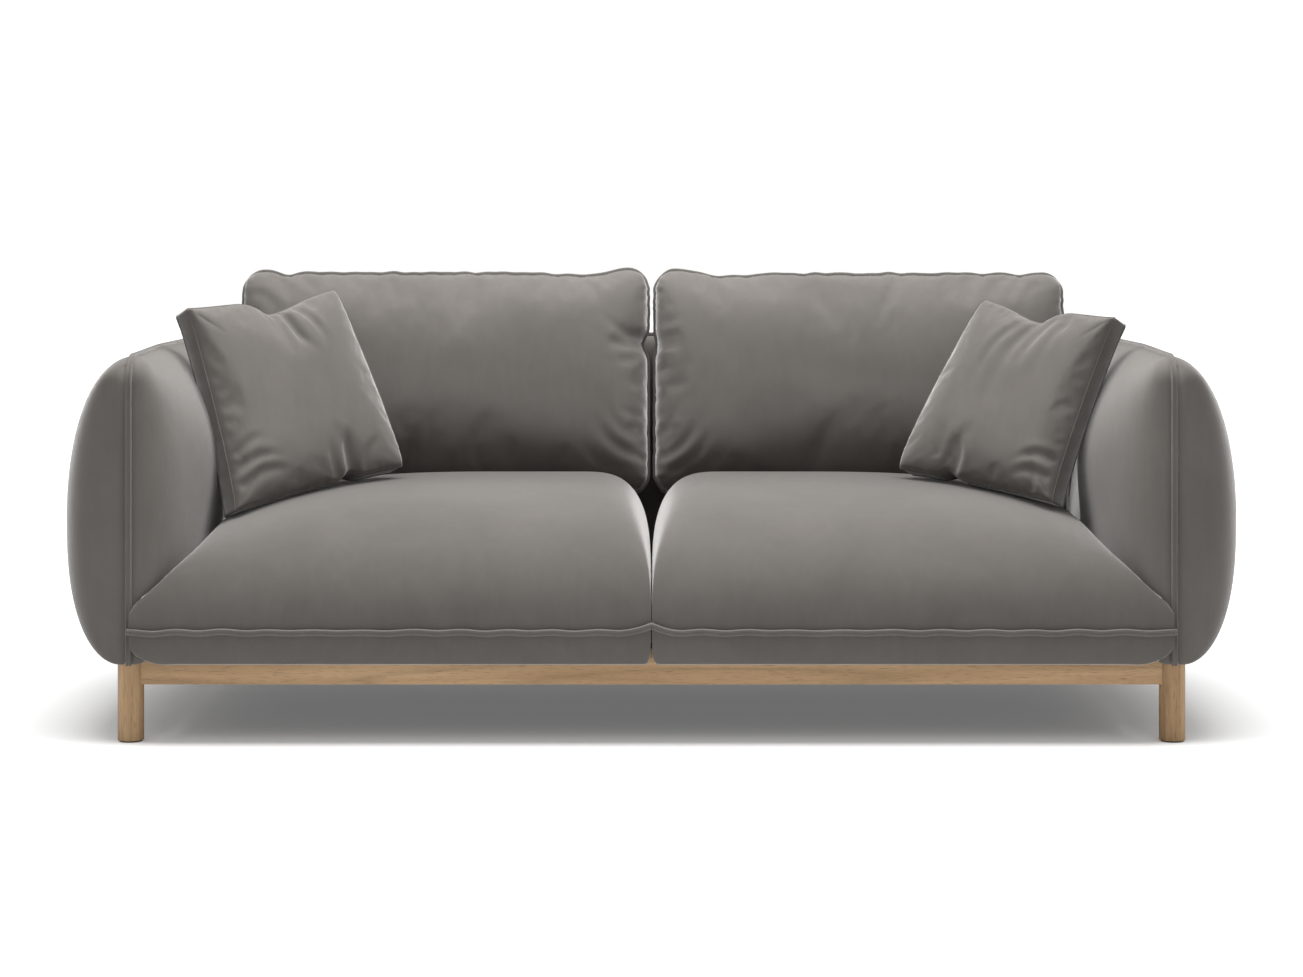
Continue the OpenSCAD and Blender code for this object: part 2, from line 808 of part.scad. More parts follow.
module throw_pillow_fill(side) {
    color(wadding) on_side(side) in_corner() pillow_form(cover_t / 2 + 0.2);
}

leg(-1, -1);  // leg_front_left
leg(1, -1);  // leg_front_right
leg(-1, 1);  // leg_rear_left
leg(1, 1);  // leg_rear_right
leg_glides();
cross_rail(leg_front_y, []);  // front_rail
cross_rail(leg_rear_y, back_bolt_x);  // rear_rail
side_rail(-1);  // left_rail
side_rail(1);  // right_rail
rail_dowels();
corner_brackets();
hanger_bolts();
hanger_nuts();
bracket_screws();
deck_frame_front();
deck_frame_rear();
deck_frame_side(-1);  // deck_frame_left
deck_frame_side(1);  // deck_frame_right
deck_frame_centre();
deck_screws();
seat_webbing();
deck_felt();
platform_cloth();
dust_cover();
arm_front_post(-1);  // arm_left_front_post
arm_rear_post(-1);  // arm_left_rear_post
arm_top_rail(-1);  // arm_left_top_rail
arm_bottom_rail(-1);  // arm_left_bottom_rail
arm_foam(-1);  // arm_left_foam
arm_cover(-1);  // arm_left_cover
arm_piping(-1);  // arm_left_piping
arm_front_post(1);  // arm_right_front_post
arm_rear_post(1);  // arm_right_rear_post
arm_top_rail(1);  // arm_right_top_rail
arm_bottom_rail(1);  // arm_right_bottom_rail
arm_foam(1);  // arm_right_foam
arm_cover(1);  // arm_right_cover
arm_piping(1);  // arm_right_piping
back_top_rail();
back_bottom_rail();
back_end_post(left_post_x);  // back_left_post
back_end_post(right_post_x);  // back_right_post
back_centre_post();
back_webbing();
back_foam();
back_cover();
back_piping();
frame_bolts();
seat_cushion_cover(-1);  // seat_cushion_left_cover
seat_cushion_core(-1);  // seat_cushion_left_core
seat_cushion_cover(1);  // seat_cushion_right_cover
seat_cushion_core(1);  // seat_cushion_right_core
back_cushion_cover(-1);  // back_cushion_left_cover
back_cushion_fill(-1);  // back_cushion_left_fill
back_cushion_cover(1);  // back_cushion_right_cover
back_cushion_fill(1);  // back_cushion_right_fill
throw_pillow_cover(-1);  // throw_pillow_left_cover
throw_pillow_fill(-1);  // throw_pillow_left_fill
throw_pillow_cover(1);  // throw_pillow_right_cover
throw_pillow_fill(1);  // throw_pillow_right_fill
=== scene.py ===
"""Looks of a two-seat velvet sofa on an oak base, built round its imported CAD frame.

Metres, +Z up, the front faces -Y. Pieces are shaped on the right-hand side (+X), and the left-hand
ones are mirrored from them, each with its own wrinkles.
"""

import math

import bpy
import numpy as np
from mathutils import Matrix, Vector


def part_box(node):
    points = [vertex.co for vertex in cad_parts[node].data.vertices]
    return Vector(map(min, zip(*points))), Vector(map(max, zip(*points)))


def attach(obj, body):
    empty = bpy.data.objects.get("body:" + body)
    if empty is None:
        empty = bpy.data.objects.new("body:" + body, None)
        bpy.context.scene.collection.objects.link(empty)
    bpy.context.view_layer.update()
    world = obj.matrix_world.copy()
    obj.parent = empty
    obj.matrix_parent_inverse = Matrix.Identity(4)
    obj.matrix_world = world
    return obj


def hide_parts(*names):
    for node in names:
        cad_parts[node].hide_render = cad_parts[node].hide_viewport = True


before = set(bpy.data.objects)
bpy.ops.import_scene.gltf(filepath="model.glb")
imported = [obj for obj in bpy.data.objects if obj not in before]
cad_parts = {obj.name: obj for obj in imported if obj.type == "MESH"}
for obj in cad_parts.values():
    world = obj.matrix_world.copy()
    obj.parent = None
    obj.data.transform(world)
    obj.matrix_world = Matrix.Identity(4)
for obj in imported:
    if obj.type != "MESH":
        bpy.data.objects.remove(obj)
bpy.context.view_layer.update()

LEFT, RIGHT = -1, 1
SIDES = {"left": LEFT, "right": RIGHT}

# ---- Sizes taken from the frame ----

ARM_LOW, ARM_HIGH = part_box("arm_right_cover")
SEAT_LOW, SEAT_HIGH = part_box("seat_cushion_right_cover")
BACK_LOW, BACK_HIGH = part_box("back_cover")
LEG_LOW, LEG_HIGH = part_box("leg_front_right")
SEAM_X = (LEG_LOW.x + LEG_HIGH.x) / 2        # plane of an arm's seam, over the legs
ARM_OUT = ARM_HIGH.x - SEAM_X
ARM_IN = SEAM_X - ARM_LOW.x
ARM_HALF = ARM_HIGH.y
ARM_FULL_Z = 0.420                           # height at which an arm is fullest
ARM_BELLY, ARM_BELLY_Y, ARM_BELLY_Z = 0.030, -0.16, 0.54   # inner swelling above the seat's front
ARM_DENT, ARM_DENT_Z = 0.026, 0.53           # pressed in beside the pillow and back cushion
ARM_TOP_DROP = 0.008                         # how much lower an arm's top is at its front
BACK_FULL_Z = 0.400
BACK_SEAM_Y = 0.400
SEAT_SEAM_Z = 0.214
SEAT_FLOOR_Z = 0.1935                        # underside behind the seat's front lip
SEAT_GAP = 0.0008                            # from the sofa's middle to a seat cushion
SEAT_TO_ARM = 0.009                          # from a seat cushion's side to the arm

# Back cushions stand in their own leaning frame: x across, y to the rear, z up the lean
LEAN = math.radians(11)
BACK_FOOT = Vector((0, 0.288, 0.416))
BC_INNER, BC_OUTER, BC_H = 0.0035, 0.8835, 0.475
BC_SEAM_Y, BC_FRONT, BC_REAR = -0.060, 0.108, 0.056
BC_PIPE_W, BC_PIPE_PROUD = 0.010, 0.006
BC_FLARE = {LEFT: 0.010, RIGHT: 0.016}       # how far the outer edge leans into the arm
BC_PINCH = {LEFT: 0.013, RIGHT: 0.004}       # how far one spot of the inner edge is drawn in

# Throw pillows: middle, and the turn, tilt and roll that lean them into the corner
TP_CENTRE = Vector((0.742, -0.063, 0.655))
TP_ANGLES = [math.radians(a) for a in (-36, -18.6, 13)]
TP_HALF, TP_SIDE, TP_BULGE = 0.201, 0.024, 0.043

# How far each corner of a throw pillow slumps, sideways and up: (outer, upper) signs first
TP_SLUMP = {LEFT: {(1, 1): (-0.020, 0.020), (-1, 1): (0.028, -0.034),
                   (-1, -1): (0.024, -0.031), (1, -1): (0.030, -0.014)},
            RIGHT: {(1, 1): (-0.020, 0.001), (-1, 1): (0.072, -0.056),
                    (-1, -1): (0.024, -0.036), (1, -1): (-0.008, 0.004)}}
TP_INNER_BULGE = {LEFT: 0.016, RIGHT: 0.026}

PIPE_W, PIPE_PROUD = 0.012, 0.009            # flat piping of the frame and the seat cushions
ARM_PIPE_PROUD = PIPE_PROUD + 0.002
SEAM_SINK = 0.0035                           # groove along a seam, below the panels beside it
FILLING_INSET, PILLOW_FILLING_INSET = 0.004, 0.003   # from a cover to what fills it


# ---- Surfaces ----

def spaced(count):
    """Values from -1 to 1, close together towards both ends."""
    t = np.linspace(-1, 1, count + 1)
    return t * (3 - t ** 2) / 4 + t * (15 - 10 * t ** 2 + 3 * t ** 4) / 16


def even(count):
    """Values from -1 to 1, only a little closer together at the ends."""
    t = np.linspace(-1, 1, count + 1)
    return 0.7 * t + 0.15 * t * (3 - t ** 2)


def arch(t, power):
    """Height of a superellipse over t from -1 to 1."""
    return np.maximum(1 - np.minimum(np.abs(t), 1) ** power, 0) ** (1 / power)


def edge_rise(distance, width, power):
    """0 at an edge, rising to 1 at width from it."""
    return arch(1 - np.clip(distance / width, 0, 1), power)


def least(heights, sharpness):
    """Soft minimum of heights from 0 to 1, exact where all but one of them are 1."""
    total = sum(np.maximum(h, 1e-3) ** -sharpness for h in heights)
    low = (total - (len(heights) - 1)) ** (-1 / sharpness)
    for h in heights:
        low = np.where(h <= 0, 0, low)
    return low


def smooth(t):
    """S-curve from 0 at t = 0 to 1 at t = 1."""
    t = np.clip(t, 0, 1)
    return t * t * (3 - 2 * t)


def bell(distance, width):
    """1 at distance 0, falling off on both sides."""
    return np.exp(-(distance / width) ** 2)


def soft_least(a, b, softness):
    """The lesser of two values, rounded off where they cross."""
    close = np.maximum(softness - np.abs(a - b), 0)
    return np.minimum(a, b) - close ** 2 / (4 * softness)


def soft_limit(value, limit, softness):
    """Values above the limit are drawn back to it smoothly."""
    over = np.maximum(value - limit, 0)
    return np.where(value > limit, limit + softness * (1 - np.exp(-over / softness)), value)


def zero_edged(fullness):
    """The same heights, but exactly 0 round the grid's edge."""
    inside = np.zeros_like(fullness)
    inside[1:-1, 1:-1] = fullness[1:-1, 1:-1]
    return inside


def between(t, low, middle, high):
    """Maps t from -1 to 1 onto low, middle (at 0) and high."""
    return np.where(t > 0, middle + t * (high - middle), middle + t * (middle - low))


def round_corners(a, b, half_a, half_b, radius, low_radius=None):
    """Moves points of a rectangle about (0, 0) so that its corners become round.
    The corners below b = 0 may have a radius of their own."""
    radius = np.where(b < 0, low_radius or radius, radius)
    over_a, over_b = np.abs(a) - (half_a - radius), np.abs(b) - (half_b - radius)
    corner = (over_a > 0) & (over_b > 0)
    p, q = np.where(corner, over_a / radius, 0), np.where(corner, over_b / radius, 0)
    new_a = half_a - radius + radius * p * np.sqrt(1 - q * q / 2)
    new_b = half_b - radius + radius * q * np.sqrt(1 - p * p / 2)
    return np.where(corner, np.sign(a) * new_a, a), np.where(corner, np.sign(b) * new_b, b)


def ripples(t, seed, amount, waves):
    """Small uneven waves along t from 0 to 1 that meet at its ends."""
    rng = np.random.default_rng(seed)
    total = np.zeros_like(t)
    for k in waves:
        total += rng.uniform(0.5, 1) * np.sin(2 * math.pi * (k * t + rng.uniform()))
    return amount * total / len(waves)


def border(grid):
    """Points round a grid's edge, as a closed loop."""
    parts = [grid[0, :-1], grid[:-1, -1], grid[-1, :0:-1], grid[:0:-1, 0]]
    return np.concatenate(parts)


def border_indices(rows, cols, start=0):
    """Vertex numbers round the edge of a panel whose first vertex is start."""
    index = start + np.arange(rows * cols).reshape(rows, cols)
    return border(index)


def border_distance(rows, cols, total):
    """For each vertex of a cushion, how many grid steps it is from the front panel's seam."""
    r, c = np.meshgrid(np.arange(rows), np.arange(cols), indexing="ij")
    steps = np.minimum(np.minimum(r, rows - 1 - r), np.minimum(c, cols - 1 - c)).ravel()
    return np.concatenate([steps, np.zeros(total - len(steps))])


def mesh_object(name, points, faces):
    """A smooth-shaded object from points and faces."""
    mesh = bpy.data.meshes.new(name)
    mesh.from_pydata([tuple(p) for p in points], [], [tuple(int(i) for i in f) for f in faces])
    mesh.validate()
    mesh.update()
    mesh.shade_smooth()
    obj = bpy.data.objects.new(name, mesh)
    bpy.context.collection.objects.link(obj)
    return obj


def grid_faces(index, flip):
    """Quads over a grid of vertex indices."""
    a, b, c, d = index[:-1, :-1], index[:-1, 1:], index[1:, 1:], index[1:, :-1]
    quads = np.stack([a, b, c, d], -1).reshape(-1, 4)
    return quads[:, ::-1] if flip else quads


def closed_skin(name, front, rear):
    """Two panels as one closed mesh. They share their edge where it is the same, and a strip
    joins them where it isn't. The front panel's edge runs anticlockwise seen from outside."""
    rows, cols = front.shape[:2]
    index = np.arange(rows * cols).reshape(rows, cols)
    boxed = np.abs(border(front) - border(rear)).max() > 1e-6
    if boxed:
        rear_index = index + rows * cols
        points = np.concatenate([front.reshape(-1, 3), rear.reshape(-1, 3)])
    else:
        rear_index = index.copy()
        inside = np.arange((rows - 2) * (cols - 2)).reshape(rows - 2, cols - 2)
        rear_index[1:-1, 1:-1] = rows * cols + inside
        points = np.concatenate([front.reshape(-1, 3), rear[1:-1, 1:-1].reshape(-1, 3)])
    faces = [grid_faces(index, False), grid_faces(rear_index, True)]
    if boxed:
        near, far = border(index), border(rear_index)
        strip = np.stack([near, far, np.roll(far, -1), np.roll(near, -1)], -1)
        faces.append(strip)
    return mesh_object(name, points, np.concatenate(faces))


def facing_out(obj):
    """Turns a closed mesh's faces outwards, whichever way it was mirrored."""
    mesh = obj.data
    co = np.array([v.co for v in mesh.vertices])
    mesh.calc_loop_triangles()
    tri = np.array([t.vertices for t in mesh.loop_triangles])
    a, b, c = co[tri[:, 0]], co[tri[:, 1]], co[tri[:, 2]]
    if np.einsum("ij,ij->i", a, np.cross(b, c)).sum() < 0:
        mesh.flip_normals()
    return obj


def inset_copy(obj, name, depth):
    """The filling inside a cover: the same form, depth further in."""
    copy = obj.copy()
    copy.data = obj.data.copy()
    copy.name = copy.data.name = name
    bpy.context.collection.objects.link(copy)
    co = np.array([v.co for v in obj.data.vertices])
    normals = np.array([v.normal for v in obj.data.vertices])
    copy.data.vertices.foreach_set("co", (co - depth * normals).ravel().astype(np.float32))
    copy.data.update()
    return copy


def resampled(loop, count):
    """count points evenly along a closed path."""
    line = np.vstack([loop, loop[:1]])
    along = np.concatenate([[0], np.cumsum(np.linalg.norm(np.diff(line, axis=0), axis=1))])
    at = np.linspace(0, along[-1], count + 1)[:-1]
    return np.stack([np.interp(at, along, line[:, k]) for k in range(3)], -1)


def welt_section(width, proud, sink):
    """Section of a flat welt: a band with a rounded ridge on each edge and a hollow middle."""
    turn = np.linspace(0, 2 * math.pi, 24, endpoint=False)
    c, s = np.cos(turn), np.sin(turn)
    across = width / 2 * np.sign(c) * np.abs(c) ** 0.6
    out = np.sign(s) * np.abs(s) ** 0.6
    out = np.where(out > 0, out * proud, out * sink)
    dip = np.where(s > 0, 0.36 * proud * bell(across, width * 0.27), 0)
    return across, out - dip


def welt(name, path, plane_normal, width, proud, sink=0.003, step=0.006):
    """Piping swept round a closed seam, which lies about in one plane. It stands out from the
    seam's edge by proud, and reaches in by sink."""
    length = np.linalg.norm(np.diff(path, axis=0), axis=1).sum()
    path = resampled(path, int(length / step))
    tangent = np.roll(path, -1, 0) - np.roll(path, 1, 0)
    tangent /= np.linalg.norm(tangent, axis=1)[:, None]
    normal = np.array(plane_normal, float)
    outward = np.cross(tangent, normal)
    outward /= np.linalg.norm(outward, axis=1)[:, None]
    if np.einsum("ij,ij->i", outward, path - path.mean(0)).sum() < 0:
        outward = -outward
    sideways = np.cross(tangent, outward)
    across, out = welt_section(width, proud, sink)
    rings = (path[:, None] + sideways[:, None] * across[None, :, None]
             + outward[:, None] * out[None, :, None])
    n, m = rings.shape[:2]
    index = np.arange(n * m).reshape(n, m)
    looped = np.concatenate([index, index[:, :1]], 1)
    looped = np.concatenate([looped, looped[:1]], 0)
    return facing_out(mesh_object(name, rings.reshape(-1, 3), grid_faces(looped, False)))


# ---- Node materials ----

def new_material(name, roughness, **fixed):
    """A material and its Principled shader, with the values that are the same all over."""
    mat = bpy.data.materials.new(name)
    mat.use_nodes = True
    shader = mat.node_tree.nodes["Principled BSDF"]
    shader.inputs["Roughness"].default_value = roughness
    for socket, value in fixed.items():
        shader.inputs[socket.replace("_", " ")].default_value = value
    return mat, mat.node_tree, shader


def put(tree, kind, **values):
    """A new node with the values of its inputs."""
    node = tree.nodes.new(kind)
    for key, value in values.items():
        node.inputs[key.capitalize()].default_value = value
    return node


def place(tree, scale, rotation=(0, 0, 0)):
    """Object coordinates, scaled to metres along each axis."""
    coord = tree.nodes.new("ShaderNodeTexCoord")
    mapping = tree.nodes.new("ShaderNodeMapping")
    mapping.inputs["Scale"].default_value = scale
    mapping.inputs["Rotation"].default_value = rotation
    tree.links.new(coord.outputs["Object"], mapping.inputs["Vector"])
    return mapping.outputs["Vector"]


def noise(tree, vector, scale, detail=3.0, roughness=0.55, distortion=0.0):
    """Noise from 0 to 1."""
    node = put(tree, "ShaderNodeTexNoise", scale=scale, detail=detail, roughness=roughness,
               distortion=distortion)
    tree.links.new(vector, node.inputs["Vector"])
    return node.outputs["Fac"]


def ramp(tree, fac, stops):
    """Colour ramp; stops are (position, colour or grey)."""
    node = tree.nodes.new("ShaderNodeValToRGB")
    elements = node.color_ramp.elements
    while len(elements) < len(stops):
        elements.new(0.5)
    for element, (position, colour) in zip(elements, stops):
        colour = (colour,) * 3 if isinstance(colour, (int, float)) else colour
        element.position = position
        element.color = (*colour, 1)
    tree.links.new(fac, node.inputs["Fac"])
    return node.outputs["Color"]


def calculated(tree, operation, a, b):
    """A Math node's result; a is another node's output, and b is one too or a number."""
    node = tree.nodes.new("ShaderNodeMath")
    node.operation = operation
    tree.links.new(a, node.inputs[0])
    if hasattr(b, "is_output"):
        tree.links.new(b, node.inputs[1])
    else:
        node.inputs[1].default_value = b
    return node.outputs[0]


def mixed(tree, a, b, fac=1.0, blend="MULTIPLY"):
    """Two colours mixed; unless told otherwise, the one multiplied by the other."""
    node = tree.nodes.new("ShaderNodeMix")
    node.data_type = "RGBA"
    node.blend_type = blend
    node.inputs[0].default_value = fac
    for value, socket in ((a, node.inputs[6]), (b, node.inputs[7])):
        if hasattr(value, "is_output"):
            tree.links.new(value, socket)
        else:
            socket.default_value = (*value, 1)
    return node.outputs[2]


def tinted(tree, base, *factors):
    """A colour multiplied by each factor in turn."""
    for factor in factors:
        base = mixed(tree, base, factor)
    return base


def bump(tree, shader, height, distance, before=None, strength=1.0):
    """Bump on the shader, on top of the bump before it."""
    node = tree.nodes.new("ShaderNodeBump")
    node.inputs["Strength"].default_value = strength
    node.inputs["Distance"].default_value = distance
    tree.links.new(height, node.inputs["Height"])
    if before is not None:
        tree.links.new(before, node.inputs["Normal"])
    tree.links.new(node.outputs["Normal"], shader.inputs["Normal"])
    return node.outputs["Normal"]


def velvet(name, tint=1.0, sheen=0.92):
    """Short-pile velvet: pale sheen at grazing angles, brushed patches and a fine nap."""
    mat, tree, shader = new_material(
        name, 0.82, Sheen_Weight=sheen, Sheen_Roughness=0.35,
        Sheen_Tint=(1.0, 0.98, 0.96, 1), Specular_IOR_Level=0.08)
    space = place(tree, (1, 1, 1))
    patches = ramp(tree, noise(tree, space, 5.5, 4, 0.6, 0.5), [(0.32, 0.93), (0.68, 1.06)])
    stroked = place(tree, (60, 60, 11), (0.1, 0.25, 0.4))
    strokes = ramp(tree, noise(tree, stroked, 1.0, 3), [(0.3, 0.97), (0.7, 1.03)])
    nap = ramp(tree, noise(tree, space, 1500, 2), [(0.25, 0.90), (0.75, 1.10)])
    # tint makes a lighter or darker copy of the velvet, which paints in light and shade for one kind of
    # piece
    base = (0.124 * tint, 0.1145 * tint, 0.106 * tint)
    tree.links.new(tinted(tree, base, patches, strokes, nap), shader.inputs["Base Color"])
    first = bump(tree, shader, noise(tree, space, 1500, 2), 0.00025)
    bump(tree, shader, noise(tree, space, 38, 4), 0.0008, first, 0.5)
    rough = ramp(tree, noise(tree, space, 14, 3), [(0.3, 0.78), (0.7, 0.88)])
    tree.links.new(rough, shader.inputs["Roughness"])
    return mat


def wood(name, axis, light, middle, dark, figure, pores, roughness):
    """Wood with its grain along one axis: figure, growth lines, pores and end grain."""
    mat, tree, shader = new_material(name, roughness, Specular_IOR_Level=0.35)
    along = [1.0, 1.0, 1.0]
    along[axis] = 0.05
    stretched = place(tree, tuple(along))
    figure_fac = noise(tree, stretched, figure, 3, 0.5, 1.2)
    base = ramp(tree, figure_fac, [(0.28, dark), (0.46, middle), (0.70, light)])
    growth = calculated(tree, "MULTIPLY", noise(tree, stretched, figure * 0.35, 1, 0.4, 0.6), 9.0)
    rings = calculated(tree, "PINGPONG", growth, 0.5)
    lines = ramp(tree, rings, [(0.0, 0.84), (0.16, 1.0), (0.5, 1.02)])
    pore_scale = [900.0, 900.0, 900.0]
    pore_scale[axis] = 38.0
    pore_fac = noise(tree, place(tree, tuple(pore_scale)), 1.0, 2)
    pore = ramp(tree, pore_fac, [(0.30, 1 - pores), (0.42, 1.0)])
    fine = [2600.0, 2600.0, 2600.0]
    fine[axis] = 60.0
    fibre = ramp(tree, noise(tree, place(tree, tuple(fine)), 1.0, 2), [(0.3, 0.94), (0.7, 1.05)])
    tree.links.new(tinted(tree, base, lines, pore, fibre), shader.inputs["Base Color"])
    first = bump(tree, shader, pore_fac, 0.0004, None, 0.6)
    bump(tree, shader, fibre, 0.0002, first, 0.5)
    return mat


def oak(axis):
    return wood(f"oak_{'xyz'[axis]}", axis, (0.52, 0.345, 0.190), (0.43, 0.272, 0.142),
                (0.31, 0.185, 0.090), 26, 0.5, 0.46)


def pine(axis):
    return wood(f"pine_{'xyz'[axis]}", axis, (0.78, 0.60, 0.36), (0.70, 0.50, 0.27),
                (0.55, 0.36, 0.17), 15, 0.08, 0.6)


def beech():
    return wood("beech", 0, (0.68, 0.48, 0.30), (0.60, 0.41, 0.25), (0.52, 0.34, 0.20),
                30, 0.15, 0.5)


def foam():
    """Open-cell polyurethane foam."""
    mat, tree, shader = new_material("foam", 0.9, Specular_IOR_Level=0.1)
    space = place(tree, (1, 1, 1))
    cells = put(tree, "ShaderNodeTexVoronoi", scale=900.0)
    tree.links.new(space, cells.inputs["Vector"])
    shade = ramp(tree, cells.outputs["Distance"], [(0.0, (0.50, 0.44, 0.27)),
                                                   (0.5, (0.80, 0.75, 0.54))])
    yellowed = ramp(tree, noise(tree, space, 4, 3), [(0.3, (1.0, 0.97, 0.88)), (0.7, 1.0)])
    tree.links.new(mixed(tree, shade, yellowed), shader.inputs["Base Color"])
    bump(tree, shader, cells.outputs["Distance"], 0.0006)
    return mat


def fluffy(name, light, dark, scale, height):
    """Matted fibre: wadding, fibre filling and felt."""
    mat, tree, shader = new_material(name, 0.95, Sheen_Weight=0.3, Specular_IOR_Level=0.05)
    space = place(tree, (1, 1, 1))
    clumps = noise(tree, space, scale, 6, 0.65, 1.0)
    hairs = noise(tree, place(tree, (900, 300, 700), (0.4, 0.7, 0.2)), 1.0, 3)
    shade = ramp(tree, clumps, [(0.3, dark), (0.7, light)])
    streaks = ramp(tree, hairs, [(0.3, 0.9), (0.7, 1.05)])
    tree.links.new(mixed(tree, shade, streaks), shader.inputs["Base Color"])
    first = bump(tree, shader, clumps, height)
    bump(tree, shader, hairs, height * 0.3, first)
    return mat


def woven(name, colour, pitch, turn=0.0):
    """Plain weave: two sets of threads, each over and under the other."""
    mat, tree, shader = new_material(name, 0.85, Specular_IOR_Level=0.2)
    waves = []
    for spin in (turn, turn + math.pi / 2):
        wave = put(tree, "ShaderNodeTexWave", scale=math.pi / (10 * pitch), distortion=0.4,
                   detail=1.0)
        tree.links.new(place(tree, (1, 1, 1), (0, 0.6, spin)), wave.inputs["Vector"])
        waves.append(wave.outputs["Fac"])
    weave = mixed(tree, waves[0], waves[1], 0.5, "MIX")
    shade = ramp(tree, weave, [(0.2, 0.55), (0.8, 1.15)])
    worn = ramp(tree, noise(tree, place(tree, (1, 1, 1)), 7, 4), [(0.3, 0.85), (0.7, 1.1)])
    tree.links.new(tinted(tree, colour, shade, worn), shader.inputs["Base Color"])
    bump(tree, shader, weave, pitch * 0.25)
    return mat


def metal(name, colour, roughness, scale):
    """Plated or brushed metal with uneven gloss."""
    mat, tree, shader = new_material(name, roughness, Metallic=1.0)
    space = place(tree, (1, 1, 1))
    cloud = noise(tree, space, scale, 5)
    grain = noise(tree, place(tree, (1800, 120, 1800)), 1.0, 2)
    tint = ramp(tree, cloud, [(0.3, 0.82), (0.7, 1.05)])
    tree.links.new(mixed(tree, colour, tint), shader.inputs["Base Color"])
    gloss = ramp(tree, grain, [(0.3, roughness * 0.8), (0.7, roughness * 1.3)])
    tree.links.new(gloss, shader.inputs["Roughness"])
    bump(tree, shader, grain, 0.00006)
    return mat


# Copies of one velvet with painted light and shade: the pillows, arms and piping get a lighter tint and
# the seats a darker one, to make up for how each kind of piece is lit; the arms and piping also get less
# sheen, and the seats more
BACK_VELVET = velvet("velvet")
PIPING_VELVET = velvet("velvet_piping", 1.08, 0.55)
PILLOW_VELVET = velvet("velvet_pillow", 1.10)
ARM_VELVET = velvet("velvet_arm", 1.10, 0.62)
SEAT_VELVET = velvet("velvet_seat", 0.93, 1.0)
FOAM = foam()
FILL = fluffy("fibre_fill", (0.86, 0.85, 0.82), (0.68, 0.67, 0.64), 60, 0.003)
WADDING = fluffy("deck_wadding", (0.80, 0.79, 0.75), (0.60, 0.59, 0.56), 90, 0.001)
FELT = fluffy("glide_felt", (0.16, 0.145, 0.13), (0.09, 0.08, 0.075), 300, 0.0005)


# ---- Pieces ----

def finish_piece(obj, material, body, node):
    """Gives a new piece its material and its body, and hides the CAD node that it stands for."""
    obj.data.materials.clear()
    obj.data.materials.append(material)
    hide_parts(node)
    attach(obj, body)


def on_side(points, side):
    """Mirrors right-hand points to the left."""
    return points * np.array([side, 1, 1])


def sunk_seam(values):
    """Draws a panel's edge in by the depth of the groove that its welt sits in."""
    drawn = values.copy()
    for line in (np.s_[0, :], np.s_[-1, :], np.s_[:, 0], np.s_[:, -1]):
        drawn[line] = values[line] * (1 - SEAM_SINK / np.abs(values).max())
    return drawn


def arm_panels():
    """Inner and outer panel of the right arm, over a grid along its seam plane."""
    along, up = np.meshgrid(spaced(84), spaced(72))
    half_z = (ARM_HIGH.z - ARM_LOW.z) / 2
    mid_z = (ARM_HIGH.z + ARM_LOW.z) / 2
    z_full = between(up, ARM_LOW.z, ARM_FULL_Z, ARM_HIGH.z)
    y, z = round_corners(along * ARM_HALF, z_full - mid_z, ARM_HALF, half_z, 0.050, 0.007)
    y, z = sunk_seam(y), sunk_seam(z) + mid_z
    z = z - ARM_TOP_DROP * smooth((-0.05 - y) / 0.40) * np.clip(up, 0, 1) ** 4
    profile = np.where(up > 0, arch(up, 2), arch(up, 3))
    outer_profile = np.where(up > 0, arch(up, 2) * (1 - 0.22 * up ** 8), arch(up, 2.6))
    fullness = least([profile, arch(along, 3)], 1.0)
    outer_fullness = least([outer_profile, arch(along, 3.6)], 1.2)
    belly = ARM_BELLY * bell(y - ARM_BELLY_Y, 0.17) * bell(z - ARM_BELLY_Z, 0.14) * arch(along, 3)
    dent = ARM_DENT * smooth((y + 0.05) / 0.13) * smooth((0.44 - y) / 0.10)
    dent = dent * bell(z - ARM_DENT_Z, 0.13)
    outer = np.stack([SEAM_X + ARM_OUT * outer_fullness, y, z], -1)
    inner = np.stack([SEAM_X - ARM_IN * fullness - belly + dent, y, z], -1)
    return inner, outer


def make_arm(label, side):
    """An arm's cover, the foam pad in it and the piping round it."""
    inner, outer = (on_side(p, side) for p in arm_panels())
    cover = facing_out(closed_skin(f"arm_{label}_velvet", inner, outer))
    foam_pad = inset_copy(cover, f"arm_{label}_foam_pad", FILLING_INSET)
    # The piping runs round the arm by angle, and starts underneath, where it can't be seen
    seam = border(outer)
    seam = seam[np.argsort(np.arctan2(seam[:, 2] - ARM_FULL_Z, -seam[:, 1]) % (2 * math.pi))]
    open_from = np.argmin(np.abs(seam[:, 1]) + 10 * (seam[:, 2] > 0.2))
    seam = np.roll(seam, -open_from, 0)
    pipe = welt(f"arm_{label}_welt", seam, (1, 0, 0), PIPE_W, ARM_PIPE_PROUD)
    finish_piece(cover, ARM_VELVET, "sofa_frame", f"arm_{label}_cover")
    finish_piece(foam_pad, FOAM, "sofa_frame", f"arm_{label}_foam")
    finish_piece(pipe, PIPING_VELVET, "sofa_frame", f"arm_{label}_piping")


def arm_edge(y, gap):
    """Inner edge of an arm seen from above, with a gap, at distances y from its middle."""
    reach = (ARM_IN + gap) * arch(np.clip(y / (ARM_HALF + gap), -1, 1), 3)
    return SEAM_X - np.where(y > 0, ARM_IN + gap, reach)


